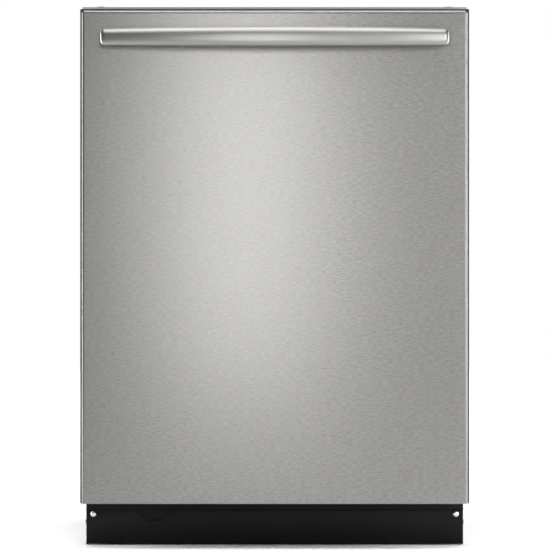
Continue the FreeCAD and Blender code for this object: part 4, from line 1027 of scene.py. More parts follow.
@dataclass
class CutleryBasket:
    """The moulded basket: slotted walls, four cells and a rounded carrying grip."""

    wall: float = 2.4 * MM
    cells: int = 4
    slots: int = 30
    grip_drop: float = 32 * MM

    def build(self) -> None:
        """Make walls of upright slats, rims, floor ribs, dividers and the grip."""
        low, high = corners_of("silverware_basket")
        rim = high.z - self.grip_drop
        shape = Shape()
        bands = [(low.z, low.z + 9 * MM), (low.z + 58 * MM, low.z + 64 * MM), (rim - 10 * MM, rim)]
        for foot, top in bands:
            self.band(shape, low, high, foot, top)
        for place in evenly(low.y + 1.2 * MM, high.y - 1.2 * MM, self.slots):
            for edge in (low.x, high.x - self.wall):
                shape.block((edge, place - 1.1 * MM, low.z + 1 * MM),
                            (edge + self.wall, place + 1.1 * MM, rim - 1 * MM), 0.4 * MM, 1)
        for place in evenly(low.x + 1.2 * MM, high.x - 1.2 * MM, 13):
            for edge in (low.y, high.y - self.wall):
                shape.block((place - 1.1 * MM, edge, low.z + 1 * MM),
                            (place + 1.1 * MM, edge + self.wall, rim - 1 * MM), 0.4 * MM, 1)
        for place in evenly(low.y + 1.5 * MM, high.y - 1.5 * MM, self.cells + 1)[1:-1]:
            shape.block((low.x + 1 * MM, place - 1 * MM, low.z), (high.x - 1 * MM, place + 1 * MM,
                                                                   rim - 4 * MM), 0.6 * MM, 1)
        for place in evenly(low.x + 4 * MM, high.x - 4 * MM, 12):
            shape.block((place - 1.2 * MM, low.y + 1 * MM, low.z),
                        (place + 1.2 * MM, high.y - 1 * MM, low.z + 2.4 * MM), 0.5 * MM, 1)
        for place in evenly(low.y + 4 * MM, high.y - 4 * MM, 25):
            shape.block((low.x + 1 * MM, place - 1.1 * MM, low.z + 0.3 * MM),
                        (high.x - 1 * MM, place + 1.1 * MM, low.z + 2.7 * MM), 0.5 * MM, 1)
        make_piece("cutlery_basket_moulding", shape.mesh("basket"), "silverware_basket",
                   BASKET_PLASTIC, ["silverware_basket"])
        middle, foot, top = (low.x + high.x) / 2, rim - 24 * MM, high.z - 5 * MM
        near, far = low.y + 3 * MM, high.y - 3 * MM
        path = [(middle, near, foot), (middle, near, top), (middle, far, top), (middle, far, foot)]
        mesh = wire_mesh("basket_grip", [path], 4.2 * MM, 16 * MM, 4)
        make_piece("cutlery_basket_grip", mesh, "silverware_basket", BASKET_PLASTIC)

    def band(self, shape: Shape, low: Vector, high: Vector, foot: float, top: float) -> None:
        """Add one closed band round the basket."""
        for edge in (low.x, high.x - self.wall):
            shape.block((edge - 0.2 * MM, low.y, foot), (edge + self.wall + 0.2 * MM, high.y, top),
                        0.7 * MM, 2)
        for edge in (low.y, high.y - self.wall):
            shape.block((low.x, edge - 0.2 * MM, foot), (high.x, edge + self.wall + 0.2 * MM, top),
                        0.7 * MM, 2)


# ---------------------------------------------------------------------- water parts
@dataclass
class SprayArm:
    """A hollow spray arm: two tapering blades with raised spines, slots and jets."""

    node: str
    jets: int
    hub: float = 27 * MM
    bore: float = 8.1 * MM
    twist: float = 0.16             # how far the blades sweep off the middle line

    def build(self) -> None:
        """Shape blades, hub and jets."""
        low, high = corners_of(self.node)
        middle = (low + high) / 2
        reach, wide, thick = high.x - middle.x, high.y - low.y, high.z - low.z
        shape = Shape()
        for side in Side:
            self.blade(shape, middle, side, reach, wide, thick)
        self.ring(shape, middle, thick)
        shape.weld()
        make_piece(f"{self.node}_shell", shape.mesh(self.node), self.node, ARM_PLASTIC,
                   [self.node], sharp=34)
        self.make_jets(middle, reach, thick)

    def blade(self, shape: Shape, middle: Vector, side: Side, reach: float, wide: float,
              thick: float) -> None:
        """Loft one blade outwards: flat oval sections that narrow to a round tip."""
        rings = []
        for share in (0.06, 0.12, 0.22, 0.4, 0.6, 0.78, 0.9, 0.96, 0.99, 1.0):
            along = side.value * reach * share
            breadth = wide / 2 * (0.99 - 0.30 * share) * math.sqrt(max(0.02, 1 - share ** 14))
            depth = thick / 2 * (0.98 - 0.30 * share) * (1 if share < 0.97 else 0.8)
            swept = side.value * self.twist * wide * math.sin(share * math.pi) * 0.5
            made = bmesh.ops.create_circle(shape.bm, segments=28, radius=1.0)["verts"]
            for vert in made:
                turn = math.atan2(vert.co.y, vert.co.x)
                flat = math.copysign(abs(math.sin(turn)) ** 0.62, math.sin(turn))
                ridge = 0.06 * math.sin(share * math.pi) if abs(math.cos(turn)) <= 0.35 else 0.0
                full = math.copysign(abs(math.cos(turn)) ** 0.8, math.cos(turn))
                rise = flat * depth * (1.0 + ridge) * 0.94
                vert.co = middle + Vector((along, full * breadth + swept, rise))
            rings.append({edge for vert in made for edge in vert.link_edges})
        for one, two in zip(rings, rings[1:]):
            bmesh.ops.bridge_loops(shape.bm, edges=list(one | two))
        for ring in (rings[0], rings[-1]):
            bmesh.ops.edgeloop_fill(shape.bm, edges=[edge for edge in ring if edge.is_boundary])

    def ring(self, shape: Shape, middle: Vector, thick: float) -> None:
        """Turn the hub, with a raised collar and an open bore."""
        half = thick / 2 / MM
        hub, bore = self.hub / MM, self.bore / MM
        outline = [(bore, -half + 0.4), (bore + 3, -half), (hub - 5, -half + 0.5), (hub, -half + 3),
                   (hub, half - 3), (hub - 4, half - 1), (bore + 5, half - 0.6), (bore + 4, half),
                   (bore, half), (bore, -half + 0.4)]
        shape.lathe(middle, Axis.Z, in_mm(outline), 40)

    def make_jets(self, middle: Vector, reach: float, thick: float) -> None:
        """Put slotted jets along both blades, each a rim round a slot that is only a thin dark
        block, painted shade in its opening.
        """
        shape = Shape()
        slots = Shape()
        for side in Side:
            for number, share in enumerate(evenly(0.3, 0.94, self.jets)):
                place = middle + Vector((side.value * reach * share,
                                         (-1) ** number * 3.5 * MM + side.value
                                         * self.twist * 17 * MM * math.sin(share * math.pi), 0))
                top = thick / 2 * (0.98 - 0.30 * share) * 0.94
                shape.lathe(place + Vector((0, 0, top - 0.9 * MM)), Axis.Z,
                            in_mm([(0, 0), (4.2, 0), (3.6, 1.5), (2.6, 1.6), (2.4, 1.0),
                                   (0, 1.0)]), 16)
                # the slot is not cut: a thin black block on the jet is painted shade for its
                # opening
                low = place + Vector((-1.9 * MM, -0.5 * MM, top + 0.05 * MM))
                slots.block(low, low + Vector((3.8 * MM, 1.0 * MM, 0.2 * MM)))
        make_piece(f"{self.node}_jets", shape.mesh("jets"), self.node, ARM_PLASTIC)
        # dark seal rubber here is painted shade in the slots, not rubber
        make_piece(f"{self.node}_slots", slots.mesh("slots"), self.node, SEAL_RUBBER)


@dataclass
class Filters:
    """Fine filter cup of mesh between ribs, the perforated plate and the float."""

    ribs: int = 16
    rings: int = 9

    def build(self) -> None:
        """Make cup, plate and float."""
        self.cup()
        self.plate()
        self.float_cap()

    def cup(self) -> None:
        """Make the twist-out cup: rim, ribs, hoops, gauze and the arrow grip."""
        low, high = corners_of("fine_filter")
        middle = (low + high) / 2
        rim = high.z - 12 * MM
        radius = (high.x - low.x) / 2 - 4 * MM
        base = Vector((middle.x, middle.y, low.z))
        shape = Shape()
        tall = rim - low.z
        shape.lathe(base, Axis.Z, [(0, 0), (radius, 0), (radius, 2.4 * MM), (0, 2.4 * MM)], 48)
        lip = [(-2, 2), (-2, -5), (0, -5), (0, 0), (3.6, 0), (4, 1), (3.4, 3), (-1, 3), (-2, 2)]
        shape.lathe(base, Axis.Z, [(radius + out * MM, tall + up * MM) for out, up in lip], 48)
        for height in evenly(6 * MM, tall - 8 * MM, self.rings):
            shape.lathe(base, Axis.Z, [(radius - 1.5 * MM, height - 0.5 * MM),
                                       (radius, height - 0.5 * MM), (radius, height + 0.5 * MM),
                                       (radius - 1.5 * MM, height + 0.5 * MM),
                                       (radius - 1.5 * MM, height - 0.5 * MM)], 48)
        for number in range(self.ribs):
            turn = Matrix.Rotation(math.tau * number / self.ribs, 4, "Z")
            out = Matrix.Translation((radius - 1 * MM, 0, tall / 2))
            size = Matrix.Diagonal((2 * MM, 1.8 * MM, tall - 2 * MM, 1))
            bmesh.ops.create_cube(shape.bm, size=1.0,
                                  matrix=Matrix.Translation(base) @ turn @ out @ size)
        shape.block((middle.x - radius + 1 * MM, middle.y - 2.6 * MM, rim + 2 * MM),
                    (middle.x + radius - 1 * MM, middle.y + 2.6 * MM, high.z), 1.6 * MM, 3)
        make_piece("fine_filter_frame", shape.mesh("cup"), "fine_filter", ARM_PLASTIC,
                   ["fine_filter"])
        gauze = Shape()
        gauze.lathe(base, Axis.Z, [(radius - 1.2 * MM, 3 * MM), (radius - 1.2 * MM, tall - 4 * MM),
                                   (radius - 1.5 * MM, tall - 4 * MM), (radius - 1.5 * MM, 3 * MM),
                                   (radius - 1.2 * MM, 3 * MM)], 64)
        make_piece("fine_filter_gauze", gauze.mesh("gauze"), "fine_filter", FILTER_GAUZE)

    def plate(self) -> None:
        """Dress the dished plate round the cup in fine perforated sheet."""
        dress("coarse_filter", PERFORATED_STEEL)

    def float_cap(self) -> None:
        """Turn the float: a domed cap on a skirt with ten upright ribs."""
        low, high = corners_of("float_cap")
        middle = ((low.x + high.x) / 2, (low.y + high.y) / 2, low.z)
        tall = (high.z - low.z) / MM
        outline = [(14.6, 0), (16, 0), (16, tall - 7), (15.2, tall - 3.6), (12.5, tall - 1.2),
                   (8, tall - 0.3), (0, tall), (0, tall - 1.8), (8, tall - 2), (13, tall - 4),
                   (14.6, tall - 8), (14.6, 0)]
        shape = Shape()
        shape.lathe(middle, Axis.Z, in_mm(outline), 40)
        for turn in round_turn(10):
            spot = Vector(middle) + Vector((math.cos(turn), math.sin(turn), 0)) * 15.7 * MM
            shape.bar(spot + Vector((0, 0, 2 * MM)), Axis.Z, (tall - 10) * MM, 0.7 * MM, 8,
                      0.2 * MM)
        make_piece("float_cap_dome", shape.mesh("float"), "float_cap", ARM_PLASTIC,
                   ["float_cap"])


@dataclass
class Heater:
    """The heater: one loop of sheathed tube, open at the rear between its two ends."""

    tube: float = 4 * MM
    gap: float = 15                 # degrees of opening at each side of the rear
    clips: int = 5

    def build(self) -> None:
        """Bend the tube and fit its clips."""
        low, high = corners_of("heating_element")
        ring = (high.x - low.x) / 2 - self.tube
        middle = Vector((0, low.y + ring + self.tube, (low.z + high.z) / 2))
        loop = []
        for step in range(73):
            turn = math.radians(90 + self.gap + (360 - 2 * self.gap) * step / 72)
            loop.append(tuple(middle + Vector((math.cos(turn), math.sin(turn), 0)) * ring))
        make_piece("heater_tube", wire_mesh("heater", [loop], self.tube, 1 * MM, 3), "cabinet",
                   HEATER_SHEATH, ["heating_element"])
        shape = Shape()
        for number in range(self.clips):
            turn = math.radians(150 + 240 * number / (self.clips - 1))
            spot = middle + Vector((math.cos(turn), math.sin(turn), 0)) * ring
            shape.block(spot - Vector((6, 6, 6)) * MM, spot + Vector((6, 6, -4.3)) * MM,
                        0.8 * MM, 2)
            shape.block(spot - Vector((1.6, 6, 6)) * MM, spot + Vector((1.6, 6, 4.9)) * MM,
                        0.5 * MM, 1)
        make_piece("heater_clips", shape.mesh("clips"), "cabinet", TUB_STEEL)


@dataclass
class Underneath:
    """Pumps, valve, junction box, springs and legs under the tub."""

    coils: int = 26
    coil_radius: float = 7.4 * MM
    coil_wire: float = 1.25 * MM

    def build(self) -> None:
        """Make every piece under the tub."""
        self.springs()
        for end in ("front", "rear"):
            for side in Side:
                self.leg(f"leveling_leg_{end}_{side.name.lower()}")
        self.motor()
        self.drain_pump()
        self.box_lid()

    def springs(self) -> None:
        """Coil both counterweight springs, with a hook at each end."""
        low, high = corners_of("door_springs")
        axis = Vector((high.x - 9 * MM, 0, (low.z + high.z) / 2))
        paths = []
        for side in Side:
            middle = Vector((axis.x * side.value, 0, axis.z))
            start, stop = low.y + 12 * MM, high.y - 12 * MM
            coil = []
            steps = self.coils * 14
            for step in range(steps + 1):
                turn = math.tau * self.coils * step / steps
                along = start + (stop - start) * step / steps
                coil.append((middle.x + math.cos(turn) * self.coil_radius, along,
                             middle.z + math.sin(turn) * self.coil_radius))
            hooks = [(middle.x, low.y + 1.6 * MM, middle.z), (middle.x, start - 4 * MM, middle.z)]
            tail = [(middle.x, stop + 4 * MM, middle.z), (middle.x, high.y - 1.6 * MM, middle.z)]
            paths.append(hooks + coil + tail)
        make_piece("door_spring_coils", wire_mesh("springs", paths, self.coil_wire, 1 * MM, 1),
                   "cabinet", SPRING_WIRE, ["door_springs"])

    def leg(self, node: str) -> None:
        """Turn one levelling leg: pad foot, hexagon and threaded stem."""
        low, high = corners_of(node)
        middle = ((low.x + high.x) / 2, (low.y + high.y) / 2, 0)
        foot = Shape()
        foot.lathe(middle, Axis.Z,
                   in_mm([(0, 0), (14.6, 0), (16, 1.4), (16, 4), (14, 6.4), (9, 8), (0, 8)]), 40)
        for turn in round_turn(12):
            spot = Vector(middle) + Vector((math.cos(turn) * 15.6, math.sin(turn) * 15.6, 1.5)) * MM
            foot.bar(spot, Axis.Z, 2.4 * MM, 0.4 * MM, 6)
        hexagon = bmesh.ops.create_cone(foot.bm, cap_ends=True, segments=6, radius1=9 * MM,
                                        radius2=9 * MM, depth=6 * MM,
                                        matrix=Matrix.Translation(Vector(middle)
                                                                  + Vector((0, 0, 11 * MM))))
        foot.soften({edge for vert in hexagon["verts"] for edge in vert.link_edges}, 0.6 * MM, 2)
        make_piece(f"{node}_foot", foot.mesh("foot"), node, FOOT_NYLON, [node])
        stem = Shape()
        outline = [(0, 13 * MM)]
        pitch, rise = 1.5 * MM, 14 * MM
        while rise + pitch < high.z:
            outline += [(4.4 * MM, rise), (4.95 * MM, rise + pitch / 2)]
            rise += pitch
        outline += [(4.2 * MM, rise), (0, rise)]
        stem.lathe(middle, Axis.Z, outline, 20)
        make_piece(f"{node}_stem", stem.mesh("stem"), node, SCREW_ZINC, sharp=20)

    def motor(self) -> None:
        """Add cooling ribs and an end cap over the circulation motor."""
        low, high = corners_of("circulation_pump")
        dress("circulation_pump", PUMP_PLASTIC)
        axis = ((low.x, (low.y + high.y) / 2, low.z + 38 * MM))
        shape = Shape()
        for number in range(11):
            place = axis[0] + (14 + 10 * number) * MM
            shape.lathe((place, axis[1], axis[2]), Axis.X,
                        in_mm([(37, 0), (40, 0.4), (40, 2.6), (37, 3), (37, 0)]), 48)
        shape.lathe((axis[0] - 0.2 * MM, axis[1], axis[2]), Axis.X,
                    in_mm([(0, 0), (30, 0), (33, -1.2), (34, 0), (34, 3), (0, 3)]), 48)
        make_piece("circulation_motor_ribs", shape.mesh("ribs"), "cabinet", PUMP_PLASTIC)

    def drain_pump(self) -> None:
        """Dress sump and drain pump, and add the clamp band and the motor's ribs."""
        dress("sump_and_drain_pump", PUMP_PLASTIC)
        dress("inlet_valve", BASKET_PLASTIC)
        low, high = corners_of("sump_and_drain_pump")
        axis = Vector((high.x - 30 * MM, (low.y + 60 * MM), 80 * MM))
        shape = Shape()
        for number in range(5):
            shape.lathe(axis + Vector((-30 * MM + number * 5 * MM, 0, 0)), Axis.X,
                        in_mm([(25.5, 0), (27.5, 0.3), (27.5, 1.7), (25.5, 2), (25.5, 0)]), 40)
        make_piece("drain_pump_ribs", shape.mesh("ribs"), "cabinet", PUMP_PLASTIC)
        band = Shape()
        middle = (low.x + 60 * MM, axis.y, low.z + 70 * MM)
        band.lathe(middle, Axis.Z,
                   in_mm([(60.1, -5), (61.2, -5), (61.2, 5), (60.1, 5), (60.1, -5)]), 64)
        make_piece("sump_clamp_band", band.mesh("band"), "cabinet", SCREW_ZINC)

    def box_lid(self) -> None:
        """Add the junction box's lid and its two screws."""
        low, high = corners_of("junction_box")
        shape = Shape()
        shape.block((low.x - 0.4 * MM, low.y - 1.1 * MM, low.z - 0.4 * MM),
                    (high.x + 0.4 * MM, low.y - 0.1 * MM, high.z + 0.4 * MM), 0.4 * MM, 2)
        for place in (low.x + 6 * MM, high.x - 6 * MM):
            shape.lathe((place, low.y - 1.1 * MM, (low.z + high.z) / 2), Axis.Y,
                        in_mm([(0, -1.4), (2.6, -1.2), (3.6, 0), (0, 0)]), 20)
        make_piece("junction_box_lid", shape.mesh("lid"), "cabinet", BASE_ZINC)


# ------------------------------------------------------------ tub, liner and soft pieces
@dataclass
class TubLiner:
    """The drawn steel tub: rounded corners and pressed ribs."""

    corner: float = 26 * MM
    rib: float = 2.6 * MM
    sheet: float = 0.9 * MM

    def build(self) -> None:
        """Make the wrapper with its pressings."""
        low, high = corners_of("tub_wrapper")
        shape = Shape()
        shape.block(low, high)
        along = [edge for edge in shape.bm.edges
                 if abs(edge.verts[0].co.y - edge.verts[1].co.y) > 0.1
                 and min(edge.verts[0].co.z, edge.verts[1].co.z) > low.z + 0.1]
        shape.soften(along, self.corner, 8)
        back = [edge for edge in shape.bm.edges
                if min(edge.verts[0].co.y, edge.verts[1].co.y) > high.y - 1e-5
                and max(edge.verts[0].co.z, edge.verts[1].co.z) > low.z + 0.01]
        shape.soften(back, 14 * MM, 5)
        away = [face for face in shape.bm.faces if face.normal.y < -0.9 or face.normal.z < -0.9]
        bmesh.ops.delete(shape.bm, geom=away, context="FACES")
        bmesh.ops.recalc_face_normals(shape.bm, faces=shape.bm.faces)
        tub = make_piece("tub_shell", shape.mesh("tub"), "cabinet", TUB_STEEL,
                         ["tub_wrapper"], sharp=35)
        wall = tub.modifiers.new("wall", "SOLIDIFY")
        wall.thickness = self.sheet
        wall.offset = -1
        flatten_shading(tub)
        self.beads(low, high)

    def beads(self, low: Vector, high: Vector) -> None:
        """Press rounded ribs into side walls, back and crown, proud on the inside."""
        sunk = self.rib * 0.7
        front, rear = low.y + 42 * MM, high.y - 44 * MM
        loops = []
        for side in Side:
            wall = side.value * (high.x - sunk)
            for foot, top in ((low.z + 92 * MM, low.z + 372 * MM),
                              (low.z + 500 * MM, high.z - 52 * MM)):
                loops.append([(wall, front, foot), (wall, rear, foot), (wall, rear, top),
                              (wall, front, top)])
            back = high.y - sunk
            near, far = side.value * 46 * MM, side.value * (high.x - 52 * MM)
            loops.append([(near, back, low.z + 60 * MM), (far, back, low.z + 60 * MM),
                          (far, back, high.z - 60 * MM), (near, back, high.z - 60 * MM)])
        crown = high.z - sunk
        wide = high.x - 60 * MM
        loops.append([(-wide, front, crown), (wide, front, crown), (wide, rear, crown),
                      (-wide, rear, crown)])
        mesh = wire_mesh("pressings", loops, self.rib, 34 * MM, 2, closed=True)
        make_piece("tub_pressings", mesh, "cabinet", TUB_STEEL)


@dataclass
class InnerDoor:
    """The door's steel liner: a pan with a pressed field and rolled edges."""

    sheet: float = 0.9 * MM
    step: float = 3.0 * MM

    def build(self) -> None:
        """Make the liner and cut it round dispenser and vent."""
        low, high = corners_of("door_inner_panel")
        shape = Shape()
        shape.block(low, high)
        front = [face for face in shape.bm.faces
                 if face.normal.y < -0.9 or abs(face.normal.z) > 0.9]
        bmesh.ops.delete(shape.bm, geom=front, context="FACES")
        rolled = [edge for edge in shape.bm.edges if edge.calc_face_angle(0) > 1.0]
        shape.soften(rolled, 3.0 * MM, 4)
        field = max(shape.bm.faces, key=lambda face: face.calc_area())
        bmesh.ops.inset_region(shape.bm, faces=[field], thickness=34 * MM, use_even_offset=True)
        bmesh.ops.inset_region(shape.bm, faces=[field], thickness=5 * MM, use_even_offset=True)
        bmesh.ops.translate(shape.bm, verts=field.verts[:], vec=(0, -self.step, 0))
        self.windows(shape, field)
        bmesh.ops.recalc_face_normals(shape.bm, faces=shape.bm.faces)
        liner = make_piece("door_liner", shape.mesh("liner"), "door", TUB_STEEL,
                           ["door_inner_panel"], sharp=25)
        wall = liner.modifiers.new("wall", "SOLIDIFY")
        wall.thickness = self.sheet
        wall.offset = 1
        flatten_shading(liner)

    def windows(self, shape: Shape, field: bmesh.types.BMFace) -> None:
        """Cut the field along the edges of dispenser and vent and drop what they cover."""
        boxes = [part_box("detergent_dispenser"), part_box("door_vent")]
        for low, high in boxes:
            for place, way in ((low[0], (1, 0, 0)), (high[0], (1, 0, 0)), (low[2], (0, 0, 1)),
                               (high[2], (0, 0, 1))):
                faces = [face for face in shape.bm.faces if abs(face.normal.y) > 0.99
                         and face.calc_center_median().y < field.calc_center_median().y + 1e-4]
                geometry = set(faces) | {edge for face in faces for edge in face.edges} | {
                    vert for face in faces for vert in face.verts}
                co = tuple(place if axis else 0.0 for axis in way)
                bmesh.ops.bisect_plane(shape.bm, geom=list(geometry), dist=1e-6, plane_co=co,
                                       plane_no=way)
        inside = []
        for face in shape.bm.faces:
            middle = face.calc_center_median()
            for low, high in boxes:
                if (abs(face.normal.y) > 0.99 and low[0] < middle.x < high[0]
                        and low[2] < middle.z < high[2]):
                    inside.append(face)
        bmesh.ops.delete(shape.bm, geom=list(set(inside)), context="FACES")


@dataclass
class Gasket:
    """The door seal: a bulb with a lip, bent round sides and crown of the mouth."""

    bulb: float = 4.0 * MM

    def build(self) -> None:
        """Sweep the bulb and its foot along the same path."""
        low, high = corners_of("door_gasket")
        inset = 4.7 * MM
        for name, radius, place in (("bulb", self.bulb, low.y + self.bulb),
                                    ("foot", 2.6 * MM, high.y - 3.0 * MM),
                                    ("neck", 3.0 * MM, (low.y + high.y) / 2 + 1 * MM)):
            path = [(low.x + inset, place, low.z), (low.x + inset, place, high.z - inset),
                    (high.x - inset, place, high.z - inset), (high.x - inset, place, low.z)]
            mesh = wire_mesh(name, [path], radius, 24 * MM, 4)
            make_piece(f"gasket_{name}", mesh, "cabinet", SEAL_RUBBER,
                       ["door_gasket"] if name == "bulb" else [])


@dataclass
class FeltPad:
    """A felt pad: quilted swelling between stitched lines, with thin pressed edges."""

    name: str
    body: str
    node: str
    low: Point
    high: Point
    thin: Axis                      # the way through its thickness
    quilt: float = 90 * MM
    replaces: bool = False
    fill: float = 0.5

    def build(self) -> None:
        """Grow a grid sheet, give it thickness and let it swell between the stitches."""
        low, high = Vector(self.low), Vector(self.high)
        size = high - low
        thin = {Axis.X: 0, Axis.Y: 1, Axis.Z: 2}[self.thin]
        flat = [axis for axis in range(3) if axis != thin]
        shape = Shape()
        counts = [max(6, round(size[axis] / (self.quilt / 8))) for axis in flat]
        made = bmesh.ops.create_grid(shape.bm, x_segments=counts[0], y_segments=counts[1],
                                     size=0.5)["verts"]
        upper, lower = self.skins(shape, made)
        for skin, way in ((upper, 1.0), (lower, 0.0)):
            for vert in skin:
                share = (vert.co.x + 0.5, vert.co.y + 0.5)
                full = self.fullness(share, [size[axis] for axis in flat])
                place = [0.0, 0.0, 0.0]
                for axis, part in zip(flat, share):
                    place[axis] = low[axis] + size[axis] * part
                middle = (low[thin] + high[thin]) / 2
                place[thin] = middle + (way - 0.5) * size[thin] * full
                vert.co = place
        shape.weld()
        pad = make_piece(self.name, shape.mesh(self.name), self.body, BLANKET_FELT,
                         [self.node] if self.replaces else [])
        round_off = pad.modifiers.new("soften", "SUBSURF")
        round_off.levels = round_off.render_levels = 1

    @staticmethod
    def skins(shape: Shape, grid: list[bmesh.types.BMVert]) -> tuple[list, list]:
        """Double the grid into two skins joined round their rim."""
        rim = [edge for edge in shape.bm.edges if edge.is_boundary]
        copy = bmesh.ops.duplicate(shape.bm, geom=shape.bm.verts[:] + shape.bm.edges[:]
                                   + shape.bm.faces[:])
        lower = [item for item in copy["geom"] if isinstance(item, bmesh.types.BMVert)]
        low_rim = [copy["edge_map"][edge] for edge in rim]
        for vert in lower:
            vert.co.z -= 1.0
        bmesh.ops.bridge_loops(shape.bm, edges=rim + low_rim)
        return grid, lower

    def fullness(self, share: Sequence[float], size: Sequence[float]) -> float:
        """Return the thickness share at one place: full inside a quilt, thin at its stitches."""
        full = 1.0
        for part, length in zip(share, size):
            rows = max(1, round(length / self.quilt))
            wave = abs(math.sin(math.pi * part * rows))
            edge = min(part, 1 - part) * length
            full *= 0.62 + 0.38 * wave ** 0.5
            full *= min(1.0, 0.35 + 0.65 * math.sqrt(max(0.0, edge) / (14 * MM)))
        return max(0.22, full)


def felt_pads() -> None:
    """Make the four panels of the sound blanket and the pad inside the door."""
    low, high = corners_of("sound_blanket")
    tub_low, tub_high = corners_of("tub_wrapper")
    gap, thick = 0.4 * MM, 9 * MM
    near, rear = tub_low.y + 30 * MM, tub_high.y - 6 * MM
    foot = low.z
    sides = [FeltPad(f"sound_blanket_{side.name.lower()}", "cabinet", "sound_blanket",
                     (min(side.value * (tub_high.x + gap), side.value * (tub_high.x + gap + thick)),
                      near, foot),
                     (max(side.value * (tub_high.x + gap), side.value * (tub_high.x + gap + thick)),
                      rear, tub_high.z), Axis.X, replaces=side is Side.LEFT) for side in Side]
    crown = FeltPad("sound_blanket_crown", "cabinet", "sound_blanket",
                    (-tub_high.x - gap - thick, near, tub_high.z + gap),
                    (tub_high.x + gap + thick, rear, high.z), Axis.Z)
    back = FeltPad("sound_blanket_back", "cabinet", "sound_blanket",
                   (10 * MM - tub_high.x, tub_high.y + gap, tub_low.z + 20 * MM),
                   (tub_high.x - 10 * MM, high.y, tub_high.z - 6 * MM), Axis.Y)
    pad_low, pad_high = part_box("door_insulation")
    door = FeltPad("door_felt", "door", "door_insulation", tuple(pad_low), tuple(pad_high), Axis.Y,
                   replaces=True)
    for pad in (*sides, crown, back, door):
        pad.build()


# ------------------------------------------------------------------------ door fittings
@dataclass
class Console:
    """The control console: moulded case, glossy lens, lamps, icons left out, four buttons."""

    lens_wide: float = 170 * MM
    lamps: int = 5

    def build(self) -> None:
        """Dress the case and make lens, lamps, surrounds and key tops."""
        dress("control_console", CONSOLE_ABS)
        low, high = corners_of("control_console")
        middle = (low.y + high.y) / 2
        shape = Shape()
        shape.block((-0.27, middle - 9 * MM, high.z - 0.4 * MM),
                    (-0.27 + self.lens_wide, middle + 9 * MM, high.z + 0.5 * MM), 0.4 * MM, 2)
        make_piece("console_lens", shape.mesh("lens"), "door", LENS_ACRYLIC)
        lamps = Shape()
        for place in evenly(-0.25, -0.27 + self.lens_wide - 0.02, self.lamps):
            lamps.lathe((place, middle, high.z + 0.45 * MM), Axis.Z,
                        in_mm([(0, 0), (1.6, 0), (1.4, 0.25), (0, 0.4)]), 16)
        make_piece("console_lamps", lamps.mesh("lamps"), "door", BUTTON_ABS)
        for name in ("power", "cycle", "options", "start"):
            self.key(f"{name}_button")

    def key(self, node: str) -> None:
        """Make one key: a dished cap with a soft edge and a ring round its pocket."""
        low, high = corners_of(node)
        shape = Shape()
        shape.block(low, high, 1.2 * MM, 3,
                    lambda edge: abs(edge.verts[0].co.z - edge.verts[1].co.z) > 1 * MM)
        top = max(shape.bm.faces, key=lambda face: face.calc_center_median().z)
        shape.soften(list(top.edges), 0.5 * MM, 3)
        top = max(shape.bm.faces, key=lambda face: face.calc_center_median().z)
        bmesh.ops.inset_region(shape.bm, faces=[top], thickness=2.2 * MM)
        bmesh.ops.translate(shape.bm, verts=top.verts[:], vec=(0, 0, -0.35 * MM))
        make_piece(f"{node}_cap", shape.mesh(node), node, BUTTON_ABS, [node])


